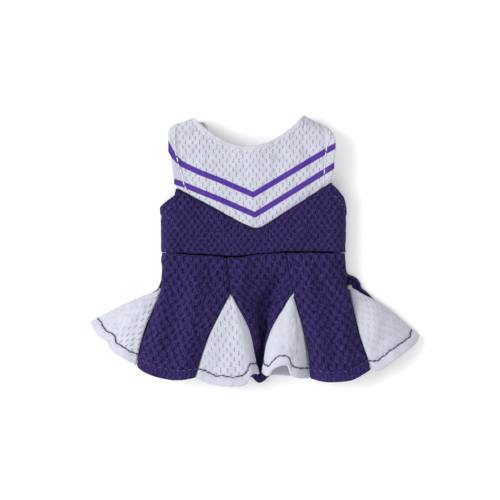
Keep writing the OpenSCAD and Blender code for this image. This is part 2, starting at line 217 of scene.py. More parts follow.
def hem_pressed(grid, side, chosen=None, groove=0.42, width=HEM):
    """The doubled hem stands a little proud, and its stitching pulls a line down."""
    d = from_side(grid, side)
    press = 0.25 * (1 - ease(d, width - 0.5, width + 0.5))
    press = press - groove * np.exp(-(((d - width) / 0.8) ** 2))
    pucker = 0.5 + 0.5 * np.sin(2 * math.pi * run_length(grid, 1 if side == "bottom" else 0) / 2.6)
    press = press - groove / 3 * pucker * np.exp(-(((d - width) / 1.4) ** 2))
    if chosen is not None:
        press = press * chosen
    return grid + normals(grid) * press[..., None]


def hem_hole_shade(grid, *hems):
    """How much painted shade shows in the knit's holes: a hem's second layer behind them hides most
    of it.
    """
    share = np.ones(grid.shape[:2])
    for side in hems:
        past_hem = ease(from_side(grid, side), HEM - 0.6, HEM + 0.6)
        share = np.minimum(share, DOUBLED + (1 - DOUBLED) * past_hem)
    return share


def turned_edge(grid, side, kind):
    """Rows of cloth that carry on past a side: folded under as a hem, or down into a seam."""
    line, inner = side_line(grid, side)
    n, _ = side_line(normals(grid), side)
    out = unit(line - inner)
    out = unit(out - n * np.sum(out * n, axis=-1, keepdims=True))
    rows = [line]
    if kind == "hem":
        for angle in np.radians([30, 60, 90, 120, 150, 180]):
            rows.append(line + HEM_ROLL * (math.sin(angle) * out - (1 - math.cos(angle)) * n))
        for back in np.linspace(0, HEM, 7)[1:]:
            rows.append(rows[6] - back * out)
    else:
        for down in (0.25, 0.6, 1.1, ALLOWANCE):
            rows.append(line - down * n)
    return np.array(rows)


def quads_of(rows, columns):
    """The corners of each face of a grid."""
    at = np.arange(rows * columns).reshape(rows, columns)
    return np.stack([at[:-1, :-1], at[1:, :-1], at[1:, 1:], at[:-1, 1:]], -1).reshape(-1, 4)


class Builder:
    """Collects grids into one mesh, with the knit's own coordinates in the UV map."""

    def __init__(self):
        # self.open holds, for each point, the share of painted shade shown in the knit's holes.
        self.points, self.knit, self.open, self.faces, self.count = [], [], [], [], 0

    def add(self, grid, knit, flip=False, shade_share=1.0):
        rows, columns = grid.shape[:2]
        quads = self.count + quads_of(rows, columns)
        self.faces.append(quads[:, ::-1] if flip else quads)
        self.points.append(grid.reshape(-1, 3))
        self.knit.append(knit.reshape(-1, 2))
        self.open.append(np.broadcast_to(shade_share, (rows, columns)).ravel())
        self.count += rows * columns

    def add_edge(self, grid, knit, side, kind, part=slice(None)):
        """The turned edge of one side, or of a part of it."""
        rows = turned_edge(grid, side, kind)[:, part]
        line = side_line(knit, side)[0][part]
        grow = run_length(rows, 0)[..., None]
        step = {"top": (0, 1), "bottom": (0, -1), "left": (-1, 0), "right": (1, 0)}[side]
        strip = line[None] + grow * np.array(step)
        if side in ("left", "right"):
            rows, strip = rows.swapaxes(0, 1), strip.swapaxes(0, 1)
        self.add(rows, strip, flip=side in ("top", "left"), shade_share=DOUBLED)

    def area(self):
        """Area of the cloth, with what is turned under, in square metres."""
        points, faces = np.concatenate(self.points) * MM, np.concatenate(self.faces)
        a, b, c, d = (points[faces[:, k]] for k in range(4))
        return float(np.linalg.norm(np.cross(c - a, d - b), axis=-1).sum() / 2)

    def mesh(self, name):
        points = np.concatenate(self.points) * MM
        knit = np.concatenate(self.knit) * MM
        faces = np.concatenate(self.faces)
        mesh = bpy.data.meshes.new(name)
        mesh.from_pydata(points.tolist(), [], faces.tolist())
        layer = mesh.uv_layers.new(name="knit")
        layer.data.foreach_set("uv", knit[faces.ravel()].astype(np.float32).ravel())
        # Each point's share of painted shade in the knit's holes.
        hole_shade_share = mesh.attributes.new("hole_shade", "FLOAT", "POINT")
        hole_shade_share.data.foreach_set("value", np.concatenate(self.open).astype(np.float32))
        tidy = bmesh.new()
        tidy.from_mesh(mesh)
        bmesh.ops.remove_doubles(tidy, verts=tidy.verts, dist=2e-6)
        bmesh.ops.dissolve_degenerate(tidy, edges=tidy.edges, dist=1e-6)
        tidy.to_mesh(mesh)
        tidy.free()
        mesh.polygons.foreach_set("use_smooth", [True] * len(mesh.polygons))
        return mesh


def put(name, mesh, material):
    thing = bpy.data.objects.new(name, mesh)
    bpy.context.scene.collection.objects.link(thing)
    mesh.materials.append(material)
    return thing


def thicken(thing, thickness=THICK):
    solid = thing.modifiers.new("thickness", "SOLIDIFY")
    solid.thickness = thickness * MM
    solid.offset = -1
    solid.use_quality_normals = False
    return thing


def is_sheet(build, grid, turned, with_pieces=()):
    """Works out the area of a piece of cloth, its cut taken with what is turned under on each side
    as well; nothing is kept or returned.
    """
    width = (run_length(grid, 1).max() + turned[0]) * MM
    length = (run_length(grid, 0).max() + turned[1]) * MM
    area = min(build.area(), width * length)


def knit_of(grid):
    """Cloth coordinates with the grain along the middle column."""
    middle = grid.shape[1] // 2
    across = run_length(grid, 1)
    across = across - across[:, middle:middle + 1]
    down = run_length(grid, 0)[:, middle:middle + 1] + np.zeros_like(across)
    return np.stack([across, -down], -1)


# ---- materials -----------------------------------------------------------------------------


class Graph:
    """Short names for making shader nodes."""

    def __init__(self, name, roughness):
        self.material = bpy.data.materials.new(name)
        self.material.use_nodes = True
        self.tree = self.material.node_tree
        self.shader = self.tree.nodes["Principled BSDF"]
        self.shader.inputs["Roughness"].default_value = roughness
        self.shader.inputs["Specular IOR Level"].default_value = 0.25

    def link(self, value, socket):
        if isinstance(value, bpy.types.NodeSocket):
            self.tree.links.new(value, socket)
        else:
            socket.default_value = value

    def node(self, kind, output=0, settings=None, **inputs):
        made = self.tree.nodes.new(kind)
        for key, value in (settings or {}).items():
            setattr(made, key, value)
        for key, value in inputs.items():
            self.link(value, made.inputs[key.replace("_", " ")])
        return made.outputs[output]

    def math(self, operation, *values, clamp=False):
        made = self.tree.nodes.new("ShaderNodeMath")
        made.operation, made.use_clamp = operation, clamp
        for i, value in enumerate(values):
            self.link(value, made.inputs[i])
        return made.outputs[0]

    def add(self, first, second, clamp=False):
        return self.math("ADD", first, second, clamp=clamp)

    def less(self, first, second):
        return self.math("SUBTRACT", first, second)

    def times(self, first, second):
        return self.math("MULTIPLY", first, second)

    def mix(self, share, first, second):
        made = self.tree.nodes.new("ShaderNodeMix")
        made.data_type = "RGBA"
        self.link(share, made.inputs[0])
        self.link(first, made.inputs[6])
        self.link(second, made.inputs[7])
        return made.outputs[2]

    def smooth_step(self, value, low, high):
        made = self.tree.nodes.new("ShaderNodeMapRange")
        made.interpolation_type = "SMOOTHSTEP"
        self.link(value, made.inputs[0])
        made.inputs[1].default_value, made.inputs[2].default_value = low, high
        return made.outputs[0]

    def noise(self, vector, scale, detail=2.0, roughness=0.55):
        return self.node("ShaderNodeTexNoise", Vector=vector, Scale=scale, Detail=detail,
                         Roughness=roughness)

    def finish(self, colour, height, bump, strength=1.0):
        self.link(colour, self.shader.inputs["Base Color"])
        normal = self.node("ShaderNodeBump", Height=height, Distance=bump * MM, Strength=strength)
        self.link(normal, self.shader.inputs["Normal"])
        return self.material


def rgb(colour, scale=1.0):
    return (*[c * scale for c in colour], 1)


def cloth_place(g):
    """The knit's own coordinates in millimetres: across and along the grain."""
    uv = g.node("ShaderNodeUVMap", settings={"uv_map": "knit"})
    place = g.node("ShaderNodeVectorMath", settings={"operation": "SCALE"}, Vector=uv, Scale=1 / MM)
    parts = g.tree.nodes.new("ShaderNodeSeparateXYZ")
    g.link(place, parts.inputs[0])
    return place, parts.outputs[0], parts.outputs[1]


def distance_from_holes(g, across, along):
    """Distance to the middle line of the nearest narrow hole."""
    row = g.math("DIVIDE", along, HOLE_ROW)
    odd = g.math("FRACT", g.times(g.math("FLOOR", row), 0.5))
    cell = g.math("FRACT", g.add(g.math("DIVIDE", across, HOLE_PITCH), odd))
    off_across = g.times(g.less(cell, 0.5), HOLE_PITCH)
    off_along = g.times(g.less(g.math("FRACT", row), 0.5), HOLE_ROW)
    past_end = g.math("MAXIMUM", g.less(g.math("ABSOLUTE", off_along), HOLE_HALF), 0.0)
    squares = g.add(g.times(off_across, off_across), g.times(past_end, past_end))
    return g.math("SQRT", squares)


def drifted(g, place, across, along):
    """The knit's rows wander a little, as those of any soft cloth do."""
    drift = g.tree.nodes.new("ShaderNodeSeparateColor")
    g.link(g.node("ShaderNodeTexNoise", 1, Vector=place, Scale=0.2, Detail=1.0), drift.inputs[0])
    across = g.add(across, g.times(drift.outputs[0], 1.5))
    return across, g.add(along, g.times(drift.outputs[1], 1.5))


def yarn_height(g, place, across, along):
    """Fuzz, small loops, and the wales that the loops line up in."""
    wale = g.math("COSINE", g.times(across, 4 * math.pi / HOLE_PITCH))
    loop_u = g.math("SINE", g.times(across, 2 * math.pi / 0.5))
    loop_v = g.math("SINE", g.times(along, 2 * math.pi / 0.6))
    stretched = g.node("ShaderNodeVectorMath", settings={"operation": "MULTIPLY"}, Vector=place)
    stretched.node.inputs[1].default_value = (1.0, 0.45, 1.0)
    fuzz = g.noise(stretched, 1.9, 4.0, 0.72)
    yarn = g.add(fuzz, g.times(g.times(loop_u, loop_v), 0.12))
    return g.add(yarn, g.times(wale, 0.05))


def mesh_knit(name, dark, light, hole, hole_share, speckle, hole_edge):
    """Sports mesh: a matt knit with rows of narrow holes, every second row set half over. The holes
    are real; their dark colour is painted shade, the garment's shaded inside seen through them.
    """
    g = Graph(name, 0.85)
    g.shader.inputs["Specular IOR Level"].default_value = 0.12
    g.shader.inputs["Sheen Weight"].default_value = 0.03
    place, across, along = cloth_place(g)
    across, along = drifted(g, place, across, along)
    # The share of painted shade in the holes at each point, kept on the mesh when it was built.
    hole_shade_share = g.node("ShaderNodeAttribute", 2, {"attribute_name": "hole_shade"})
    ragged = g.times(g.less(g.noise(place, 1.1, 2.0), 0.5), 0.5)
    from_hole = g.add(distance_from_holes(g, across, along), ragged)
    hole_shade = g.times(g.less(1.0, g.smooth_step(from_hole, *hole_edge)), hole_shade_share)
    yarn = yarn_height(g, place, across, along)
    patchy = g.noise(place, 0.07, 2.0)
    tone = g.mix(g.smooth_step(yarn, 0.5 - speckle, 0.5 + speckle), rgb(dark), rgb(light))
    tone = g.mix(g.times(patchy, 0.25), tone, rgb(dark, 0.85))
    seen = g.times(g.smooth_step(patchy, 0.2, 0.62), 1 - hole_share)
    # Painted shade: the hole colour stands for the shaded inside seen through each hole, as far as
    # the point's share allows.
    tone = g.mix(g.times(hole_shade, g.add(seen, hole_share)), tone, rgb(hole))
    return g.finish(tone, g.less(g.times(yarn, 0.5), hole_shade), 0.3)


def satin(name, colour, edge, edge_from):
    """Smooth woven tape with a fine rib along it and a paler edge."""
    g = Graph(name, 0.55)
    place, across, along = cloth_place(g)
    rib = g.math("SINE", g.times(across, 2 * math.pi / 0.34))
    grain = g.noise(place, 1.6, 3.0, 0.6)
    tone = g.mix(g.smooth_step(grain, 0.3, 0.75), rgb(colour, 0.86), rgb(colour, 1.14))
    pale = g.smooth_step(g.math("ABSOLUTE", across), edge_from, edge_from + 0.08)
    tone = g.mix(pale, tone, rgb(edge))
    height = g.add(g.times(rib, 0.3), grain)
    return g.finish(tone, height, 0.06)


def thread(name, colour):
    """Two-ply sewing thread, its twist slanting across it."""
    g = Graph(name, 0.55)
    g.shader.inputs["Sheen Weight"].default_value = 0.2
    place, across, along = cloth_place(g)
    slant = g.add(across, g.times(along, 1.4))
    twist = g.math("SINE", g.times(slant, 2 * math.pi / 0.45))
    fuzz = g.noise(place, 5.0, 2.0)
    share = g.add(g.times(twist, 0.3), fuzz, clamp=True)
    tone = g.mix(share, rgb(colour, 0.7), rgb(colour, 1.15))
    return g.finish(tone, twist, 0.05)


# Each knit's third colour is painted shade: the dark inside of the garment seen through its holes.
PURPLE = mesh_knit("purple_mesh", (0.008, 0.003, 0.044), (0.050, 0.031, 0.151),
                   (0.003, 0.001, 0.012), 0.8, 0.14, (0.08, 0.44))
WHITE = mesh_knit("white_mesh", (0.495, 0.50, 0.575), (0.56, 0.565, 0.65), (0.33, 0.33, 0.39),
                  0.22, 0.2, (0.0, 0.32))
VIOLET = satin("violet_tape", (0.066, 0.022, 0.27), (0.42, 0.38, 0.60), 1.16)
WHITE_THREAD = thread("white_thread", (0.90, 0.90, 0.95))
DARK_THREAD = thread("dark_violet_thread", (0.052, 0.032, 0.155))
LILAC_THREAD = thread("lilac_thread", (0.11, 0.085, 0.25))
TAPE = satin("closure_tape", (0.70, 0.70, 0.74), (0.60, 0.60, 0.64), 3.0)


def cloth(name, build, white, *nodes):
    """A piece of white or purple mesh, in place of its CAD nodes."""
    material, slot = (WHITE, "white_mesh") if white else (PURPLE, "purple_mesh")
    piece = thicken(put(name, build.mesh(name), material))
    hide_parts(*nodes)
    return piece


# ---- the front of the bodice ---------------------------------------------------------------

TOP_COLUMNS, BODICE_ROWS, YOKE_ROWS = 190, 64, 90
SEAM_GAP = 0.3                                  # half the dark line of the waist and yoke seams
WAIST_DIP = [(-45, 0.8), (-24, -0.4), (-10, -1.4), (4, 0.0), (15, 0.8), (44, 0.5)]


def waist_y(x):
    """The waist seam dips a little left of the middle."""
    return WAIST + through(x, WAIST_DIP)


def section(a):
    """x and z on the front at distance a across the cloth: flat, then rolled under the sides."""
    angle = np.clip((np.abs(a) - FLAT) / ROLL, 0, None)
    x = MIDDLE + np.sign(a) * (np.minimum(np.abs(a), FLAT) + ROLL * np.sin(angle))
    return x, TOP - ROLL * (1 - np.cos(angle))


def across_of(x, z):
    """The distance across the cloth of a point on the section."""
    centre = math.copysign(FLAT, x - MIDDLE)
    if abs(x - MIDDLE) <= FLAT:
        return x - MIDDLE
    angle = math.atan2(abs(x - MIDDLE) - FLAT, z - (TOP - ROLL))
    return math.copysign(FLAT + ROLL * angle, centre)


SIDE_SEAM = FLAT + ROLL * math.radians(145)
V_X, V_LOW, V_ROUND = 0.6, 10.0, 1.5
V_LEFT_SLOPE, V_RIGHT_SLOPE = 0.55, 0.65
LEFT_CORNER, RIGHT_CORNER = -34.7, 33.8


def v_seam(x):
    """The yoke's lower seam: a V with a round point."""
    slope = np.where(x < V_X, V_LEFT_SLOPE, V_RIGHT_SLOPE)
    return V_LOW - V_ROUND + np.hypot(slope * (x - V_X), V_ROUND)


LEFT_END = (LEFT_CORNER, float(v_seam(LEFT_CORNER)))
RIGHT_END = (RIGHT_CORNER, float(v_seam(RIGHT_CORNER)))

LEFT_UNDERARM = [(-43.3, 17.4), (-42.6, 19.4), (-39.7, 21.9), (-36.8, 24.1), (-35.2, 25.6)]
RIGHT_UNDERARM = [(35, 29.2), (37.2, 27.2), (40, 23.8), (40.7, 21.3), (41.2, 17.5)]


def bodice_top(x):
    """Upper edge of the bodice: underarm, yoke seam, underarm."""
    left = np.interp(x, *np.array([*LEFT_UNDERARM, LEFT_END]).T)
    right = np.interp(x, *np.array([RIGHT_END, *RIGHT_UNDERARM]).T)
    return np.where(x < LEFT_CORNER, left, np.where(x > RIGHT_CORNER, right, v_seam(x)))


def bodice_grid():
    """The bodice's cloth, its knit, and which of its columns end at an underarm."""
    a = np.linspace(-SIDE_SEAM, SIDE_SEAM, TOP_COLUMNS)
    x, z = section(a)
    t = np.linspace(0, 1, BODICE_ROWS)[:, None]
    closed = 0.45 * ease(np.abs(x), 33, 38)     # the waist seam's gap closes round the sides
    y = (bodice_top(x) - SEAM_GAP)[None] * (1 - t) + (waist_y(x) + SEAM_GAP - closed)[None] * t
    grid = np.stack([x + 0 * y, y, z + 0 * y], -1)
    in_front = 1 - 0.6 * ease(np.abs(a), FLAT - 2, FLAT + 3)
    puff = (lift(grid[..., 0], grid[..., 1]) + 0.4 * ease(y, 0, 8)) * in_front
    grid += normals(grid) * puff[..., None]
    underarm = (x < LEFT_CORNER + 0.3) | (x > RIGHT_CORNER - 0.3)
    grid = hem_pressed(grid, "top", underarm[None])
    sunk = SEAM_ROUND * (1 - ease(from_side(grid, "top"), 0, 1.3)) * ~underarm
    grid -= normals(grid) * sunk[..., None]
    grid = seam_rounded(grid, ("left", "right"))
    return seam_rounded(grid, ("bottom",), waist_seam(x)), np.stack([a + 0 * y, y], -1), underarm


def make_front_bodice():
    grid, knit, underarm = bodice_grid()
    build = Builder()
    build.add(grid, knit)
    for side in ("bottom", "left", "right"):
        build.add_edge(grid, knit, side, "seam")
    first, last = np.flatnonzero(~underarm)[[0, -1]]
    for kind, part in (("hem", slice(0, first + 1)), ("seam", slice(first, last + 1)),
                       ("hem", slice(last, None))):
        build.add_edge(grid, knit, "top", kind, part)
    piece = cloth("front_bodice", build, False, "front_bodice_panel")
    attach(piece, "bodice")
    return piece, grid, build


# ---- the front yoke ------------------------------------------------------------------------

NECK_HEM, ARM_HEM = 1.7, 3.6
# The armhole stitching wanders: how far in it is at each share of the way down.
LEFT_INSET = [(0, 3.2), (0.35, 2.3), (0.62, 2.1), (0.86, 4.4), (1, 5.4)]
RIGHT_INSET = [(0, 4.0), (0.48, 3.4), (0.77, 1.6), (1, 1.6)]
PEEK_X, NECK_PEEK = -23.2, 3.2                  # the back's neckline shows past the front here
NECK_X, NECK_HALF, NECK_TOP = -3.2, 24.9, 60.0
FRONT_NECK, BACK_NECK = 46.3, 43.5
LEFT_SHOULDER = np.array([(-36.6, 56.5), (-27.8, 59.9)])
RIGHT_SHOULDER = np.array([(22.2, 60.9), (33.0, 55.3)])
LEFT_ARMHOLE = [(-36.6, 56.5), (-38.0, 54.9), (-38.6, 53), (-38.3, 49), (-38.0, 45), (-36.9, 41),
                (-36.8, 37), (-36.0, 31.7), LEFT_END]
RIGHT_ARMHOLE = [(33.0, 55.3), (34.8, 52.6), (35.5, 50), (35.5, 45), (35.0, 39), (34.7, 36),
                 (34.2, 32), RIGHT_END]


def neck_y(x, low):
    return low + (NECK_TOP - low) * ((x - NECK_X) / NECK_HALF) ** 2


def softened(values, passes):
    """Averages each value with its neighbours, the ends kept."""
    for _ in range(passes):
        values[1:-1] = (values[:-2] + 2 * values[1:-1] + values[2:]) / 4
    return values


def sampled(points, run, at):
    """Points at distances along a route whose own points lie at distances run."""
    return np.stack([np.interp(at, run, c) for c in points.T], -1)


def evenly(points, count):
    """count points at even spacing along a route."""
    points = np.array(points, float)
    run = run_length(points, 0)
    return sampled(points, run, np.linspace(0, run[-1], count))


def rounded(points, count):
    """A route with softened corners, its ends kept."""
    return softened(evenly(points, count), 3)


def patch(top, bottom, left, right, t):
    """A grid between four routes, whose rows lie at shares t of the way down."""
    s = np.linspace(0, 1, len(top))[None, :, None]
    t = t[:, None, None]
    ruled = (1 - t) * top[None] + t * bottom[None] + (1 - s) * left[:, None] + s * right[:, None]
    corners = ((1 - s) * (1 - t) * top[0] + s * (1 - t) * top[-1]
               + (1 - s) * t * bottom[0] + s * t * bottom[-1])
    return ruled - corners


def inside_shoulder(x, y, line):
    """Distance in from a shoulder line."""
    run = unit(line[1] - line[0])
    return (x - line[0][0]) * run[1] - (y - line[0][1]) * run[0]


def shoulder_drop(x, y):
    """How far the cloth has rolled down at a point near a shoulder."""
    drop = np.zeros_like(x)
    for line, half in ((LEFT_SHOULDER, x < NECK_X), (RIGHT_SHOULDER, x >= NECK_X)):
        d = np.clip(inside_shoulder(x, y, line), 0, ROLL)
        drop += half * (ROLL - np.sqrt(ROLL ** 2 - (ROLL - d) ** 2))
    return drop


def yoke_z(x, y):
    """Height of the front yoke."""
    crown = 0.7 + 0.5 * ease(y, 20, 40)
    return TOP + crown * ease(y - v_seam(x), 0, 3) + lift(x, y) - shoulder_drop(x, y)


def top_route(low, count):
    """Shoulder, neckline, shoulder."""
    xs = np.linspace(LEFT_SHOULDER[1][0] + 0.7, RIGHT_SHOULDER[0][0] - 0.6, 40)
    neck = [(x, neck_y(x, low)) for x in xs]
    return evenly([*LEFT_SHOULDER, *neck, *RIGHT_SHOULDER], count)


def rows_to(count):
    """Shares of the way down, closer together at the shoulders."""
    return np.linspace(0, 1, count) ** 1.25


def with_rows(route, t):
    """A route down a side, at the shares t of its length."""
    fine = rounded(route, 200)
    run = run_length(fine, 0)
    return sampled(fine, run, t * run[-1])


def yoke_grid():
    """The yoke's cloth, its knit, and which of its columns end at the neckline."""
    t = rows_to(YOKE_ROWS)
    xs = np.linspace(LEFT_CORNER, RIGHT_CORNER, 300)
    bottom = evenly(np.stack([xs, v_seam(xs)], -1), TOP_COLUMNS)
    top = top_route(FRONT_NECK, TOP_COLUMNS)
    flat = patch(top, bottom, with_rows(LEFT_ARMHOLE, t), with_rows(RIGHT_ARMHOLE, t), t)
    x, y = flat[..., 0], flat[..., 1]
    grid = np.stack([x, y, yoke_z(x, y)], -1)
    neck = (top[:, 0] > LEFT_SHOULDER[1][0]) & (top[:, 0] < RIGHT_SHOULDER[0][0])
    spread = np.convolve(neck.astype(float), np.ones(7) / 7, "same")
    grid = hem_pressed(grid, "top", spread[None], 0.15, NECK_HEM)
    for side in ("left", "right"):
        grid = hem_pressed(grid, side, None, 0.2, ARM_HEM)
    return seam_rounded(grid, ("bottom",), 0.6), flat, np.flatnonzero(neck)[[0, -1]]


def make_front_yoke():
    grid, knit, (first, last) = yoke_grid()
    build = Builder()
    # The neck hem's second layer hides most of the holes' painted shade.
    neck_hole_shade = DOUBLED + (1 - DOUBLED) * ease(from_side(grid, "top"), 1, 2.6)
    build.add(grid, knit, shade_share=np.minimum(hem_hole_shade(grid, "left", "right"), neck_hole_shade))
    build.add_edge(grid, knit, "top", "hem", slice(first, last + 1))
    for side, kind in (("bottom", "seam"), ("left", "hem"), ("right", "hem")):
        build.add_edge(grid, knit, side, kind)
    piece = cloth("front_yoke_cloth", build, True, "front_yoke")
    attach(piece, "bodice")
    return piece, grid, build, (first, last)


# ---- the skirt -----------------------------------------------------------------------------
# Each rib: its place on the waist seam [x, z], then where it passes the tips of the godets,
# the middle of the skirt and the hem.

LEFT_TIP, LEFT_INNER_TIP = [-41.4, -17.1, 2.6], [-10.7, -18.9, 9.9]
RIGHT_INNER_TIP, RIGHT_TIP = [17, -18.5, 9.9], [42, -15.4, 2.6]
LEFT_SIDE, RIGHT_SIDE = [-41.9, 2.4], [41.5, 2.4]
LEFT_SEAM, RIGHT_SEAM = [-12.6, TOP], [13.9, TOP]


def fan(waist, tip, *ribs):
    """Ribs that leave one place on the waist and pass the tip of one godet."""
    return [[waist, tip, *rib] for rib in ribs]


LEFT_SIDE_RIBS = fan(
    LEFT_SIDE, LEFT_TIP,
    [[-57.5, -23, 2.3], [-74.5, -32, 2.2]],
    [[-56.2, -26.6, 5.2], [-70.8, -37.8, 5.4]],
    [[-54.6, -30.2, 8], [-66.4, -40.7, 7.8]],
    [[-53.4, -32.4, 8.8], [-64.6, -44.4, 8.0]],
    [[-51.6, -34.8, 9.6], [-59.6, -47.7, 9.6]],
    [[-49.8, -36.6, 9.6], [-53.2, -51, 9.4]])
LEFT_RIBS = [
    LEFT_SIDE_RIBS[-1],
    [[-41.1, 7.8], [-41.5, -17, 8.4], [-46.6, -37.2, 11.6], [-50.8, -53.2, 11.4]],
    [[-34.5, TOP], [-36, -19, 11.2], [-40.5, -38.5, 14], [-44, -56.2, 13.2]],
    [[-22.5, TOP], [-23.5, -20, 11.8], [-29.5, -40, 15], [-35, -57.6, 15]],
    [LEFT_SEAM, LEFT_INNER_TIP, [-20.6, -38.5, 13.2], [-26.5, -56.6, 13.6]]]
LEFT_GODET_RIBS = [LEFT_RIBS[-1], *fan(
    LEFT_SEAM, LEFT_INNER_TIP,
    [[-16, -39.5, 12.8], [-19, -59.4, 13.8]],
    [[-11, -39, 12.5], [-11, -60.4, 13.8]],
    [[-6.6, -38, 12.9], [-4.4, -59.6, 14.4]],
    [[-4.2, -37.4, 11.8], [-1.2, -55.0, 13.2]],
    [[-2.2, -36.8, 9.6], [2.1, -54.8, 8.8]])]
CENTRE_RIBS = [
    LEFT_GODET_RIBS[-1],
    [[-6, TOP], [-4.4, -19, 8.8], [1.5, -37.4, 8.4], [-0.8, -56.8, 2.6]],
    [[2, TOP], [4.6, -19.4, 6.0], [3.2, -38, 1.8], [2.1, -59.4, 2.2]],
    [[8, TOP], [11, -19, 7.6], [4.7, -37.6, 7.2], [5.6, -56.8, 2.6]],
    [RIGHT_SEAM, RIGHT_INNER_TIP, [6.2, -37, 10], [2.9, -54.2, 9.2]]]
RIGHT_GODET_RIBS = [CENTRE_RIBS[-1], *fan(
    RIGHT_SEAM, RIGHT_INNER_TIP,
    [[8.2, -37.4, 12.4], [5.6, -55.6, 12.8]],
    [[10.4, -37.8, 13.6], [8.5, -52.4, 14.8]],
    [[12.8, -38, 14.2], [12, -50.9, 15.6]],
    [[15.2, -38, 14.2], [15, -51.5, 15.2]],
    [[17.6, -38.1, 13.4], [16.6, -55.4, 14.4]],
    [[20, -38.2, 12.0], [19.8, -56.6, 13.2]],
    [[22.3, -38.4, 10.8], [24.5, -57, 9]])]
RIGHT_RIBS = [
    RIGHT_GODET_RIBS[-1],
    [[21.5, TOP], [25, -19, 11.6], [29, -39, 14], [31.8, -58.4, 13.4]],
    [[33.5, TOP], [35.6, -18, 11.2], [39.4, -39.4, 14], [42.4, -57.8, 13.4]],
    [[40.3, 7.8], [41.9, -15.4, 8.2], [44.6, -37, 11.4], [48.8, -54.8, 11]],
    [RIGHT_SIDE, RIGHT_TIP, [46.8, -37, 9.8], [52.2, -53, 9.2]]]
RIGHT_SIDE_RIBS = [RIGHT_RIBS[-1], *fan(
    RIGHT_SIDE, RIGHT_TIP,
    [[50, -35.2, 9.8], [56.2, -53.2, 9.8]],
    [[54.6, -31.4, 8.8], [63.6, -48.0, 8.8]],
    [[57.6, -26.8, 6.0], [72.0, -42.0, 5.4]],
    [[58.5, -24.9, 2.7], [74.4, -37.8, 2.4]])]

TIPS, MIDDLES, HEM_AT = 1, 2, 3                 # where along a rib its points lie
GODET_FROM = 1.02
TUCK, TUCK_RUN = 2.0, 4.0                       # a godet's tip comes up from under the panels
ROWS_PER_STEP, COLUMNS_PER_RIB = 26, 12
GODET_STRETCH, PANEL_STRETCH = 0.88, 0.76       # the skirt's knit is pulled longer and wider


def rib_line(rib, s, seam):
    """Points down a rib. A seam rib runs straight to the godet's tip, as its neighbour does."""
    top = np.array([rib[0][0], WAIST, rib[0][1]], float)
    tip, middle, hem = (np.array(p, float) for p in rib[1:])
    f = (s - np.floor(np.minimum(s, HEM_AT - 1e-9)))[:, None]
    straight = top + f * (tip - top)
    curved = smooth(2 * top - tip, top, tip, middle, f)
    first = straight if seam else curved
    second = smooth(2 * tip - middle if seam else top, tip, middle, hem, f)
    third = smooth(tip, middle, hem, 2 * hem - middle, f)
    s = s[:, None]
    return np.where(s < TIPS, first, np.where(s < MIDDLES, second, third))


def across_ribs(points, u):
    """Smooth curves through the points of the ribs, at places u counted in ribs."""
    padded = np.concatenate([2 * points[:1] - points[1:2], points, 2 * points[-1:] - points[-2:-1]])
    i = np.minimum(np.floor(u).astype(int), len(points) - 2)
    f = (u - i).reshape(-1, *[1] * (points.ndim - 1))
    return smooth(*(padded[i + k] for k in range(4)), f)


def ribs_grid(ribs, s, seams):
    """A smooth grid across the ribs. Its top row lies on the waist seam."""
    u = np.linspace(0, len(ribs) - 1, COLUMNS_PER_RIB * (len(ribs) - 1) + 1)
    lines = np.array([rib_line(rib, s, k in seams) for k, rib in enumerate(ribs)])
    grid = across_ribs(lines, u).swapaxes(0, 1)
    places = [across_of(*rib[0]) for rib in ribs]
    x, z = section(np.interp(u, range(len(ribs)), places))
    waist = np.stack([x, waist_y(x) - SEAM_GAP, z], -1)
    plain = np.array([[rib[0][0], WAIST, rib[0][1]] for rib in ribs], float)
    fade = 1 - ease(s, 0, 0.9)
    return grid + fade[:, None, None] * (waist - across_ribs(plain, u))[None]


def skirt_lift(x, y):
    """Ripples of the skirt, which grow away from the waist."""
    grow = ease(-y, 2, 26)
    return (0.25 + 0.75 * grow) * soft_ripple(x * 1.3 + 40, y * 0.8) + fine_ripple(x, y)


BACK_CLEAR = 2.1                                # lowest the front of the skirt's outside may lie
# Soft folds on the front of the skirt: start, end, width, height.
SKIRT_FOLDS = [
    [(-35, -14), (-38, -46), 5.0, -1.5],
    [(-27, -8), (-31, -50), 3.5, 0.8],
    [(-41, -6), (-44, -40), 2.5, 0.6],
    [(-20, -4), (-18, -20), 2.4, -0.6],
    [(37, -3), (42, -17), 1.5, -1.1],
    [(27, -11), (39, -28), 2.8, -0.9],
    [(24, -6), (29, -50), 3.2, 0.8],
    [(35, -24), (36, -52), 3.6, -1.1],
    [(18, -4), (22, -18), 2.2, -0.5],
    [(-6, -4), (-5, -16), 2.6, 0.5],
    [(11, -12), (4.4, -27), 3.0, -2.3],
    [(4.6, -24), (3.3, -38), 2.1, -1.3],
    [(-7.5, -22), (0.6, -42), 1.5, 1.3],
    [(13, -17), (6.2, -30), 1.4, 1.5],
]


def clear_of_back(grid):
    """Keeps the bottoms of the deep folds on top of the back's cloth."""
    x, z = grid[..., 0], grid[..., 2]
    held = BACK_CLEAR + 0.3 * np.log1p(np.exp((z - BACK_CLEAR) / 0.3))
    share = 1 - ease(np.abs(x), 28, 36)
    return np.stack([x, grid[..., 1], z + share * (held - z)], -1)


def seam_sink(grid, s):
    """Above the godets, the cloth sinks towards the seams between the panels."""
    total = np.zeros(grid.shape[:2])
    for side in ("left", "right"):
        total -= 0.9 * np.exp(-from_side(grid, side) / 2.6)
    return total * (1 - ease(s, 0.8, 1.25))[:, None]


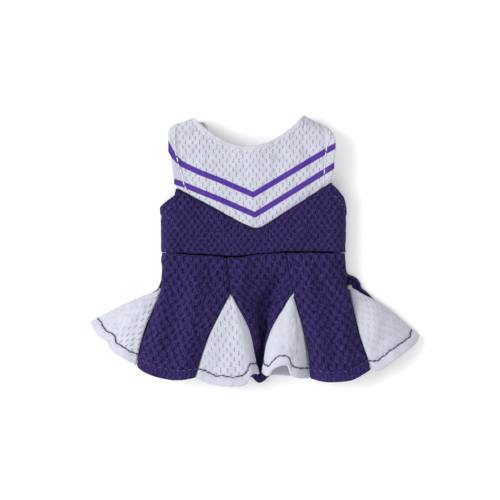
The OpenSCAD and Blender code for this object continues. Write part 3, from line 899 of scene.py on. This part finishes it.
def skirt_ripple(grid):
    """Ripples and folds of the skirt, which are smaller beside its seams."""
    x, y = grid[..., 0], grid[..., 1]
    calm = np.minimum(ease(from_side(grid, "left"), 0, 5), ease(from_side(grid, "right"), 0, 5))
    ripple = skirt_lift(x, y)
    for start, end, width, height in SKIRT_FOLDS:
        ripple += 1.3 * fold(x, y, start, end, width, height)
    return ripple * (0.4 + 0.6 * calm)


def tucked(grid, ribs):
    """A godet's tip comes up from under the panels."""
    tuck = min(TUCK, ribs[0][1][2] / 5)
    share = 1 - ease(from_side(grid, "top"), 0, TUCK_RUN)
    return grid - np.array([0, 0, tuck]) * share[..., None]


def front_gore_grid(ribs, godet):
    """One front panel or godet of the skirt."""
    low = GODET_FROM if godet else 0
    s = np.linspace(low, HEM_AT, int(ROWS_PER_STEP * (HEM_AT - low)))
    grid = ribs_grid(ribs, s, range(len(ribs)) if godet else (0, len(ribs) - 1))
    ripple = skirt_ripple(grid)
    if not godet:
        ripple += seam_sink(grid, s)
    grid = hem_pressed(grid + normals(grid) * ripple[..., None], "bottom")
    if godet:
        grid = tucked(grid, ribs)
    else:
        grid = seam_rounded(grid, ("top",), waist_seam(grid[0, :, 0]))
    return clear_of_back(seam_rounded(grid, ("left", "right"), flat_seam(s)))


def hang(piece):
    """Bakes a skirt piece's transform into its mesh."""
    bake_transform(piece)


def hem_stitches(name, line, normal, godet):
    """The skirt's hem stitching: dark and close on white, pale and open on purple."""
    look = HEM_STITCH["godet" if godet else "panel"]
    sewn = stitches(f"{name}_hem_stitches", line, normal, slot="violet_thread", **look)
    hang(sewn)
    return sewn


def sew_gore(node, grid, knit, godet, share, inset=HEM, raised=0.0):
    """Turns the edges of a panel or godet and stitches its hem."""
    name = f"{node}_cloth"
    build = Builder()
    build.add(grid, knit, shade_share=share)
    for side in ("left", "right") if godet else ("top", "left", "right"):
        build.add_edge(grid, knit, side, "seam")
    build.add_edge(grid, knit, "bottom", "hem")
    piece = cloth(name, build, godet, node)
    hang(piece)
    line, normal = line_at(grid, "bottom", inset)
    sewn = hem_stitches(name, line + raised * normal, normal, godet)
    is_sheet(build, grid, (2 * ALLOWANCE, HEM), [sewn])
    return sewn


def hem_wander(run):
    """The hem stitching on the godets isn't straight."""
    return 0.28 * np.sin(run * 1.15) * np.sin(run * 0.37 + 1) + 0.12 * np.sin(run * 2.9)


HEM_STITCH = {
    "godet": dict(material=DARK_THREAD, length=2.5, gap=-0.35, radius=0.29, wander=0.24, dip=0.1),
    "panel": dict(material=LILAC_THREAD, length=1.6, gap=1.0, radius=0.17, wander=0.16)}
# Each godet: its ribs, and how much painted shade shows in its knit's holes at shares of the way
# across. This is painted light and shade: the holes faint where light falls full on the godet and
# dark where it lies in shade.
GODETS = {
    "left_side_godet": (LEFT_SIDE_RIBS, [(0, 0.3), (0.4, 0.5), (0.8, 1.2), (1, 1.3)]),
    "front_left_godet": (LEFT_GODET_RIBS,
                         [(0, 0.5), (0.2, 1), (0.5, 1.1), (0.7, 0.15), (1, 0.1)]),
    "front_right_godet": (RIGHT_GODET_RIBS, [(0, 0.15), (0.5, 0.25), (0.8, 0.5), (1, 0.2)]),
    "right_side_godet": (RIGHT_SIDE_RIBS, [(0, 0.5), (1, 0.4)])}
FRONT_PANELS = {"front_left_panel": LEFT_RIBS, "front_centre_panel": CENTRE_RIBS,
                "front_right_panel": RIGHT_RIBS}
FRONT_SKIRT = ["left_side_godet", "front_left_panel", "front_left_godet", "front_centre_panel",
               "front_right_godet", "front_right_panel", "right_side_godet"]


def make_front_skirt():
    first = None
    for node in FRONT_SKIRT:
        godet = node in GODETS
        ribs, hole_shade_share = GODETS[node] if godet else (FRONT_PANELS[node], [(0, 1), (1, 1)])
        grid = front_gore_grid(ribs, godet)
        knit = knit_of(grid) * (GODET_STRETCH if godet else PANEL_STRETCH)
        # A godet's holes take painted light and shade from its table; a panel's are even.
        share = hem_hole_shade(grid, "bottom") * through(np.linspace(0, 1, grid.shape[1]), hole_shade_share)
        edge = side_line(grid, "bottom")[0]
        inset = HEM - hem_wander(run_length(edge, 0)) if godet else HEM
        sewn = sew_gore(node, grid, knit, godet, share, inset, 0.1)
        first = first or sewn
    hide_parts("front_hem_topstitch")


# ---- the back ------------------------------------------------------------------------------

OPENING, FOLD_TOP = 6.0, (18.5, 45.0)
OVERLAP = 5.0
INNER_CLIMB = 1.9                               # how far the inner flap climbs over the strips
BACK_LEVEL = 0.62                               # height of the back's outer face
UNDER_ROLL = 0.43 * ROLL                        # how far in from its widest the back's side seam is
SIDE_NAME = {-1: "left", 1: "right"}
HALF_COLUMNS = 64


def fold_x(y, side):
    return CENTRE_BACK + side * FOLD_TOP[0] * (y - OPENING) / FOLD_TOP[1]


def back_z(x, y, side):
    """Height of a back half: flat, and the right half climbs over the left in the middle."""
    z = BACK_LEVEL + 0.16 * soft_ripple(x, y)
    if side > 0:
        in_from_fold = fold_x(y, 1) - x
        climb = ease(y, OPENING, OPENING + 9) * ease(in_from_fold, -1, 2.5)
        z = z + INNER_CLIMB * climb
    return z


def free_edge(y, side):
    """The centre edge of a back half: at the seam below the opening, and past it above."""
    return CENTRE_BACK - side * OVERLAP * ease(y, OPENING - 1, OPENING + 12)


def back_side(side):
    """The side and underarm of a back half, from the top down to the waist."""
    if side < 0:
        under = LEFT + UNDER_ROLL
        return [LEFT_END, (-36.2, 25.4), (-38.4, 22.6), (under, 20), (under, 10), (under, WAIST)]
    under = RIGHT - UNDER_ROLL
    return [RIGHT_END, (34.6, 28.8), (under - 1, 24.6), (under, 21), (under, 10), (under, WAIST)]


def half_routes(side, yoke, columns):
    """Top, bottom, outer and inner routes of one part of a back half, and its row shares."""
    corner = LEFT_END if side < 0 else RIGHT_END
    middle = (free_edge(YOKE_BACK, side), YOKE_BACK)
    if not yoke:
        t = np.linspace(0, 1, 60)
        ys = YOKE_BACK + t * (WAIST - YOKE_BACK)
        outer = with_rows(back_side(side), t)
        inner = np.stack([free_edge(ys, side), ys], -1)
        waist = evenly([outer[-1], (CENTRE_BACK, WAIST)], columns)
        return evenly([corner, middle], columns), waist, outer, inner, t
    t = rows_to(56)
    shoulder, armhole = ((LEFT_SHOULDER, LEFT_ARMHOLE) if side < 0
                         else (RIGHT_SHOULDER[::-1], RIGHT_ARMHOLE))
    neck_xs = np.linspace(shoulder[1][0] - side * 0.7, middle[0], 60)
    peek = NECK_PEEK * np.exp(-(((neck_xs - PEEK_X) / 2.2) ** 2))
    neck = np.stack([neck_xs, neck_y(neck_xs, BACK_NECK) + peek], -1)
    inner = np.stack([middle[0] + 0 * t, neck[-1][1] + t * (YOKE_BACK - neck[-1][1])], -1)
    return (evenly([*shoulder, *neck], columns), evenly([corner, middle], columns),
            with_rows(armhole, t), inner, t)


def on_flap(piece):
    """Bakes the transform of a piece of one half of the back into its mesh."""
    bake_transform(piece)


def half_grid(side, yoke):
    """One part of a back half, and its knit. The columns run to the left, as seen from behind."""
    top, bottom, outer, inner, t = half_routes(side, yoke, HALF_COLUMNS)
    if side > 0:
        top, bottom, outer, inner = top[::-1], bottom[::-1], inner, outer
    flat = patch(top, bottom, outer, inner, t)
    x, y = flat[..., 0], flat[..., 1]
    z = back_z(x, y, side) + (shoulder_drop(x, y) if yoke else 0)
    grid = np.stack([x, y, z], -1)[:, ::-1]
    grid = seam_rounded(grid, ("bottom",) if yoke else ("top", "bottom"), 0.4)
    return grid, flat[:, ::-1] * np.array([-1, 1])


def half_cloth(grid, knit, edge_side, free_side, yoke):
    """The cloth of one part of a back half, and how far its free edge is hemmed."""
    build = Builder()
    hems = (edge_side, free_side) if yoke else (free_side,)
    build.add(grid, knit, shade_share=hem_hole_shade(grid, *hems))
    build.add_edge(grid, knit, "bottom", "seam")
    if yoke:
        on_neck = np.abs(grid[0, :, 0] - NECK_X) < NECK_HALF - 0.6
        first, last = np.flatnonzero(on_neck)[[0, -1]]
        build.add_edge(grid, knit, "top", "hem", slice(first, last + 1))
        build.add_edge(grid, knit, edge_side, "hem")
        build.add_edge(grid, knit, free_side, "hem")
        return build, slice(2, -2)
    build.add_edge(grid, knit, "top", "seam")
    build.add_edge(grid, knit, edge_side, "seam")
    above = int(np.sum(side_line(grid, free_side)[0][:, 1] > OPENING + 3))
    build.add_edge(grid, knit, free_side, "hem", slice(0, above))
    build.add_edge(grid, knit, free_side, "seam", slice(above - 1, None))
    return build, slice(2, above)


def make_half_part(side, yoke):
    """The purple lower part, or the white yoke, of one half of the back, with its flap."""
    edge_side, free_side = ("right", "left") if side < 0 else ("left", "right")
    grid, knit = half_grid(side, yoke)
    build, hemmed = half_cloth(grid, knit, edge_side, free_side, yoke)
    half = f"{SIDE_NAME[side]}_back"
    name = f"{half}_yoke_cloth" if yoke else f"{half}_cloth"
    ends = ("_yoke", "_flap_yoke") if yoke else ("_panel", "_flap")
    piece = cloth(name, build, yoke, *[half + end for end in ends])
    on_flap(piece)
    line, normal = line_at(grid, free_side, HEM)
    colour, slot = (WHITE_THREAD, "white_thread") if yoke else (LILAC_THREAD, "violet_thread")
    sewn = stitches(f"{name}_stitches", line[hemmed], normal[hemmed], colour, slot,
                    length=1.8, gap=0.8, radius=0.22, wander=0.08)
    on_flap(sewn)
    is_sheet(build, grid, (2 * HEM, HEM + ALLOWANCE), [sewn])


# ---- hook and loop strips ------------------------------------------------------------------

STRIP_LO, STRIP_HI = box_mm("hook_strip")
STRIP_T = 0.3
STRIP_INSET = 0.9


def strip_stitches(name, z, up):
    """A stitched rectangle just inside a strip's edge."""
    (x0, y0), (x1, y1) = STRIP_LO[:2] + STRIP_INSET, STRIP_HI[:2] - STRIP_INSET
    line = evenly([(x0, y0), (x0, y1), (x1, y1), (x1, y0), (x0, y0)], 240)
    line = np.column_stack([line, np.full(len(line), z)])
    normal = np.tile([0.0, 0.0, float(up)], (len(line), 1))
    return stitches(name, line, normal, WHITE_THREAD, "white_thread", length=1.7, gap=0.7,
                    radius=0.2)


def strip_pile(name, z, up, hooked):
    """Rows of stiff hooks, or a soft pile of loops, over the strip."""
    draw = np.random.default_rng(17 if hooked else 23)
    build = Builder()
    xs = np.arange(STRIP_LO[0] + 1.5, STRIP_HI[0] - 1.3, 0.62)
    ys = np.arange(STRIP_LO[1] + 1.5, STRIP_HI[1] - 1.3, 0.7)
    for x in xs:
        for y in ys:
            heading = 0.0 if hooked else draw.uniform(0, math.pi)
            tall, wide = (0.36, 0.2) if hooked else (0.3, draw.uniform(0.2, 0.34))
            turn = np.linspace(0, math.radians(215 if hooked else 180), 6)
            off = wide * (1 - np.cos(turn)) - (0 if hooked else wide)
            px = x + draw.uniform(-0.08, 0.08) + off * math.cos(heading)
            py = y + draw.uniform(-0.08, 0.08) + off * math.sin(heading)
            path = np.stack([px, py, z + up * tall * np.sin(np.minimum(turn, math.pi / 1.2))], -1)
            side = np.array([-math.sin(heading), math.cos(heading), 0.0])
            rings = capsule(path, np.tile(side, (6, 1)), 0.07, 0.3)
            knit = np.zeros((*rings.shape[:2], 2)) + np.array([x, y])
            build.add(rings, knit, flip=True)
    return put(name, build.mesh(name), TAPE)


def make_strip(word, hooked):
    """One strip of the closure: the hook side faces up, and the loop side faces down on it."""
    up = 1 if hooked else -1
    z = BACK_LEVEL + (THICK + 0.12 if hooked else INNER_CLIMB - 0.1)
    across = np.linspace(-1, 1, 10)
    (x0, y0), (x1, y1) = STRIP_LO[:2], STRIP_HI[:2]
    x = ((x0 + x1) / 2 + across * (x1 - x0) / 2)[None]
    y = np.linspace(y1, y0, 40)[:, None]
    height = STRIP_T * (1 - 0.5 * np.abs(across[None]) ** 6)
    grid = np.stack([x + 0 * y, y + 0 * x, z + up * height + 0 * y], -1)[:, ::up]
    build = Builder()
    build.add(grid, grid[..., :2])
    base = thicken(put(f"{word}_strip_tape", build.mesh(f"{word}_strip_tape"), TAPE), STRIP_T - 0.04)
    pile = strip_pile(f"{word}_strip_pile", z + up * (STRIP_T - 0.04), up, hooked)
    sewn = strip_stitches(f"{word}_strip_stitches", z + up * STRIP_T, up)
    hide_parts(f"{word}_strip")
    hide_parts(f"{word}_strip_stitching")
    for piece in (base, pile, sewn):
        on_flap(piece)


# ---- the back of the skirt -----------------------------------------------------------------

BACK_HEM = [(-72.4, -32.6), (-69, -38), (-62.5, -44.2), (-50, -50.8), (-36, -54.8), (-21, -57),
            (-8, -56.6), (2, -56.8), (8, -55.8), (16, -56.2), (25, -57.2), (41, -55.2),
            (54, -50.6), (64, -46), (71.4, -40)]
HEM_ENDS = [-72.4, -50, -21, 6, 41, 71.4]       # where the back's seams meet its hem
BACK_LEFT_TIP, BACK_RIGHT_TIP = (-15.0, -19.0), (13.0, -19.0)
TIP_HALF = 0.2                                  # half the width of a godet's tip
BACK_LEFT_SIDE = [(-40.3, WAIST), (-41.4, -8), (-42.2, -13), (-44, -17.6), (-47.6, -19.8),
                  (-54, -23.2), (-64, -28.4)]
BACK_RIGHT_SIDE = [(38.9, WAIST), (40.6, -8), (42.3, -10.9), (44.6, -11.6), (46.6, -12.9),
                   (47.9, -15), (48.4, -17), (51.2, -19.2), (53.6, -21.8), (57, -25.2), (64, -32)]
back_wave = waves(11, 12, 14, 40, 1.5)


def hem_between(low, high, count):
    """Part of the back hem, between two places across."""
    fine = rounded(BACK_HEM, 400)
    inside = fine[(fine[:, 0] > low) & (fine[:, 0] < high)]
    ends = [np.array([x, np.interp(x, *fine.T)]) for x in (low, high)]
    return evenly([ends[0], *inside, ends[1]], count)


def back_gore_grid(top, left, right, hem, godet):
    """One back panel or godet, lying nearly flat. Its columns run to the left, as on a half."""
    rows = 64
    columns = max(24, int(abs(hem[1] - hem[0]) * 1.3))
    bottom = hem_between(*hem, columns)
    left_route = evenly([*left, bottom[0]], rows)
    right_route = evenly([*right, bottom[-1]], rows)
    flat = patch(evenly(top, columns), bottom, left_route, right_route, np.linspace(0, 1, rows))
    x, y = flat[..., 0], flat[..., 1]
    away = ease(WAIST - y, 2, 30)
    inside = 1 - ease(np.abs(x), 34, 48)
    z = BACK_LEVEL + (0.3 + np.abs(back_wave(x, y))) * away * inside
    if godet:
        z = z + 0.3 * (1 - ease(top[0][1] - y, 0.5, 5))
    grid = hem_pressed(np.stack([x, y, z], -1)[:, ::-1], "bottom", None, 0.25)
    return seam_rounded(grid, ("left", "right"), 0.3)


def make_back_skirt():
    waist, seams, tips = [], [], []
    for tip in (BACK_LEFT_TIP, BACK_RIGHT_TIP):
        waist.append((tip[0], WAIST))
        seams.append([waist[-1], tip])
        tips.append([(tip[0] - TIP_HALF, tip[1]), (tip[0] + TIP_HALF, tip[1])])
    plans = [
        ("left_panel", [BACK_LEFT_SIDE[0], waist[0]], BACK_LEFT_SIDE, seams[0]),
        ("left_godet", tips[0], [BACK_LEFT_TIP], [BACK_LEFT_TIP]),
        ("centre_panel", waist, seams[0], seams[1]),
        ("right_godet", tips[1], [BACK_RIGHT_TIP], [BACK_RIGHT_TIP]),
        ("right_panel", [waist[1], BACK_RIGHT_SIDE[0]], seams[1], BACK_RIGHT_SIDE)]
    for k, (name, top, left, right) in enumerate(plans):
        godet = name.endswith("godet")
        grid = back_gore_grid(top, left, right, HEM_ENDS[k:k + 2], godet)
        share = hem_hole_shade(grid, "bottom")
        sew_gore(f"back_{name}", grid, knit_of(grid), godet, share)
    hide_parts("back_hem_topstitch")


# ---- trims ---------------------------------------------------------------------------------

UPPER_STRIPE = [(-38.9, 46.8), (-36.9, 43.2), (-35, 40.8), (-33, 39), (-31, 37.9), (-24.75, 35),
                (-16, 31.6), (-0.8, 25), (14.8, 34.3), (32.2, 44.8), (36.2, 47)]
LOWER_STRIPE = [(-36.3, 31.0), (-34, 30.2), (-31.7, 29.4), (-24, 26.2), (-16, 23), (0, 16),
                (15, 25.2), (33.7, 36.9), (35.6, 38.2)]
STRIPE_W, STRIPE_T = 2.5, 0.16


def surface_under(grid):
    """A function that gives the height of a cloth's upper face at each x and y."""
    faces = quads_of(*grid.shape[:2]).tolist()
    tree = BVHTree.FromPolygons(grid.reshape(-1, 3).tolist(), faces)

    def height(x, y):
        out = np.empty(x.size)
        for k, (px, py) in enumerate(zip(x.ravel(), y.ravel())):
            hit = tree.ray_cast(Vector((px, py, 100)), Vector((0, 0, -1)))[0]
            if hit is None:
                hit = tree.find_nearest(Vector((px, py, TOP)))[0]
            out[k] = hit.z
        return out.reshape(x.shape)

    return height


def make_stripe(name, node, route, height):
    """A tape in a V, its width measured up and down so that the point is mitred."""
    route = np.array(route)
    point = np.argmin(route[:, 1])
    xs = np.concatenate([np.linspace(route[0, 0], route[point, 0], 90),
                         np.linspace(route[point, 0], route[-1, 0], 90)[1:]])
    ys = np.interp(xs, *route.T)
    slope = softened(np.abs(np.gradient(ys, xs)), 4)
    half = STRIPE_W / 2 * np.hypot(1, slope)
    across = np.linspace(1, -1, 9)[:, None]
    x, y = xs[None] + 0 * across, ys[None] + across * half[None]
    edge = 1 - np.abs(across) ** 8
    z = height(x, y) + 0.05 + STRIPE_T * edge
    grid = np.stack([x, y, z], -1)
    knit = np.stack([across * STRIPE_W / 2 + 0 * x, x], -1)
    build = Builder()
    build.add(grid, knit)
    piece = thicken(put(name, build.mesh(name), VIOLET), 0.12)
    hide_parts(node)
    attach(piece, "bodice")
    return piece


def capsule(path, normal, radius, dip):
    """Rings of one stitch, which dips into the cloth at both ends."""
    count, sides = len(path), 6
    along = unit(np.gradient(path, axis=0))
    wide = unit(np.cross(along, normal))
    up = np.cross(wide, along)
    t = np.linspace(0, 1, count)
    size = radius * np.sqrt(np.clip(1 - (2 * t - 1) ** 4, 0.02, 1))
    centre = path + normal * (radius * (0.3 * np.sin(math.pi * t) + 0.3 - dip))[:, None]
    turn = np.linspace(0, 2 * math.pi, sides + 1)
    ring = (np.cos(turn)[None, :, None] * wide[:, None] + np.sin(turn)[None, :, None] * up[:, None])
    return centre[:, None] + size[:, None, None] * ring


def stitches(name, line, normal, material, slot, length=1.8, gap=0.8, radius=0.24, wander=0.0,
             dip=0.3):
    """Stitches of equal length along a line of points on the cloth."""
    run = run_length(line, 0)
    count = max(1, int(run[-1] // (length + gap)))
    pitch = run[-1] / count
    draw = np.random.default_rng(len(name) * 31 + count)
    build = Builder()
    for k in range(count):
        start = (k + 0.5) * pitch - length / 2
        where = np.linspace(start, start + length, 6)
        path, n = sampled(line, run, where), unit(sampled(normal, run, where))
        side = unit(np.cross(unit(np.gradient(path, axis=0)), n))
        shift = wander * (draw.uniform(-1, 1) + draw.uniform(-1, 1) * np.linspace(-1, 1, 6))
        path = path + side * shift[:, None]
        rings = capsule(path, n, radius * draw.uniform(0.88, 1.1), dip)
        knit = np.stack(np.meshgrid(np.linspace(0, 1.5, rings.shape[1]), where), -1)
        build.add(rings, knit, flip=True)
    return put(name, build.mesh(name), material)


def line_at(grid, side, distance):
    """The line on a grid that runs a set distance in from one side, and its normals."""
    d, n = from_side(grid, side), normals(grid)
    if side in ("left", "right"):
        grid, n, d = grid.swapaxes(0, 1), n.swapaxes(0, 1), d.T
    order = slice(None, None, -1) if side in ("bottom", "right") else slice(None)
    grid, n, d = grid[order], n[order], d[order]
    out, facing = [], []
    distance = np.broadcast_to(distance, grid.shape[1])
    for c, inset in enumerate(distance):
        out.append([np.interp(inset, d[:, c], grid[:, c, k]) for k in range(3)])
        facing.append([np.interp(inset, d[:, c], n[:, c, k]) for k in range(3)])
    return np.array(out), unit(np.array(facing))


# ---- the whole garment ---------------------------------------------------------------------


def on_bodice(sewn, *nodes):
    """Stitches that move with the bodice, in place of their CAD nodes if they have any."""
    if nodes:
        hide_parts(*nodes)
    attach(sewn, "bodice")
    return sewn


def yoke_stitches(grid, neck):
    """The stitching round the neckline and the armholes."""
    line, normal = line_at(grid, "top", NECK_HEM)
    part = slice(neck[0] + 2, neck[1] - 1)
    sewn = stitches("neck_stitches", line[part], normal[part], WHITE_THREAD, "white_thread",
                    length=1.8, gap=1.1, radius=0.3, wander=0.08, dip=-0.1)
    made = [on_bodice(sewn, "neckline_topstitch")]
    for side, insets in (("left", LEFT_INSET), ("right", RIGHT_INSET)):
        inset = through(np.linspace(0, 1, grid.shape[0]), insets)
        line, normal = line_at(grid, side, inset[::-1] if side == "right" else inset)
        line = line + normal * 0.2
        sewn = stitches(f"{side}_armhole_stitches", line[14:-3], normal[14:-3], WHITE_THREAD,
                        "white_thread", length=2.3, gap=0.2, radius=0.27, wander=0.06, dip=0.1)
        made.append(on_bodice(sewn, f"{side}_armhole_topstitch"))
    return made


def underarm_stitches(grid):
    """The stitching of the bodice's own short stretch of each armhole."""
    made = []
    line, normal = line_at(grid, "top", ARM_HEM)
    for side, chosen in (("left", line[:, 0] < LEFT_CORNER - 0.5),
                         ("right", line[:, 0] > RIGHT_CORNER + 1.5)):
        chosen &= line[:, 2] > TOP - ROLL
        sewn = stitches(f"{side}_underarm_stitches", line[chosen], normal[chosen], LILAC_THREAD,
                        "violet_thread", length=1.7, gap=0.7, radius=0.2, wander=0.12)
        made.append(on_bodice(sewn))
    return made


def make_front_top():
    bodice, lower, bodice_build = make_front_bodice()
    yoke, upper, yoke_build, neck = make_front_yoke()
    height = surface_under(upper)
    on_yoke = [make_stripe("upper_stripe", "upper_chevron_stripe", UPPER_STRIPE, height),
               make_stripe("lower_stripe", "lower_chevron_stripe", LOWER_STRIPE, height),
               *yoke_stitches(upper, neck)]
    is_sheet(bodice_build, lower, (2 * ALLOWANCE, HEM), underarm_stitches(lower))
    is_sheet(yoke_build, upper, (2 * HEM, HEM), on_yoke)


make_front_top()
make_front_skirt()
for half in (-1, 1):
    make_half_part(half, False)
    make_half_part(half, True)
make_back_skirt()
make_strip("hook", True)
make_strip("loop", False)

# ---- floor, light and camera ---------------------------------------------------------------

CAMERA_Z, CAMERA_LENS = 1008.0, 160.0


def make_stage():
    """A plain pale floor that glows a little, so that shadows on it stay soft."""
    floor = bpy.data.objects.new("floor", bpy.data.meshes.new("floor"))
    size = 3.0
    low = -0.0003
    corners = [(-size, -size, low), (size, -size, low), (size, size, low), (-size, size, low)]
    floor.data.from_pydata(corners, [], [(0, 1, 2, 3)])
    bpy.context.scene.collection.objects.link(floor)
    paper = bpy.data.materials.new("paper")
    paper.use_nodes = True
    shader = paper.node_tree.nodes["Principled BSDF"]
    shader.inputs["Base Color"].default_value = (0.93, 0.93, 0.935, 1)
    shader.inputs["Roughness"].default_value = 0.9
    shader.inputs["Emission Color"].default_value = (1, 1, 1, 1)
    shader.inputs["Emission Strength"].default_value = 0.1
    floor.data.materials.append(paper)


def make_light(name, place, size, power):
    lamp = bpy.data.lights.new(name, "AREA")
    lamp.shape, lamp.size, lamp.energy = "DISK", size, power
    thing = bpy.data.objects.new(name, lamp)
    bpy.context.scene.collection.objects.link(thing)
    thing.location = place
    thing.rotation_mode = "QUATERNION"
    thing.rotation_quaternion = (-thing.location).to_track_quat("-Z", "Y")


def make_camera():
    lens = bpy.data.cameras.new("camera")
    lens.lens, lens.sensor_width = CAMERA_LENS, 36
    lens.clip_start, lens.clip_end = 0.01, 10
    camera = bpy.data.objects.new("camera", lens)
    bpy.context.scene.collection.objects.link(camera)
    camera.location = (-2.2 * MM, 0.2 * MM, CAMERA_Z * MM)
    bpy.context.scene.camera = camera


def make_room():
    world = bpy.data.worlds.new("room")
    world.use_nodes = True
    bpy.context.scene.world = world
    back = world.node_tree.nodes["Background"]
    back.inputs["Color"].default_value = (1, 1, 1, 1)
    back.inputs["Strength"].default_value = 0.74
    bpy.context.scene.view_settings.view_transform = "Standard"


make_stage()
make_light("window", (-0.85, 0.15, 0.7), 0.8, 9.6)
make_light("fill", (0.1, -0.6, 1.0), 0.9, 2.6)
make_camera()
make_room()
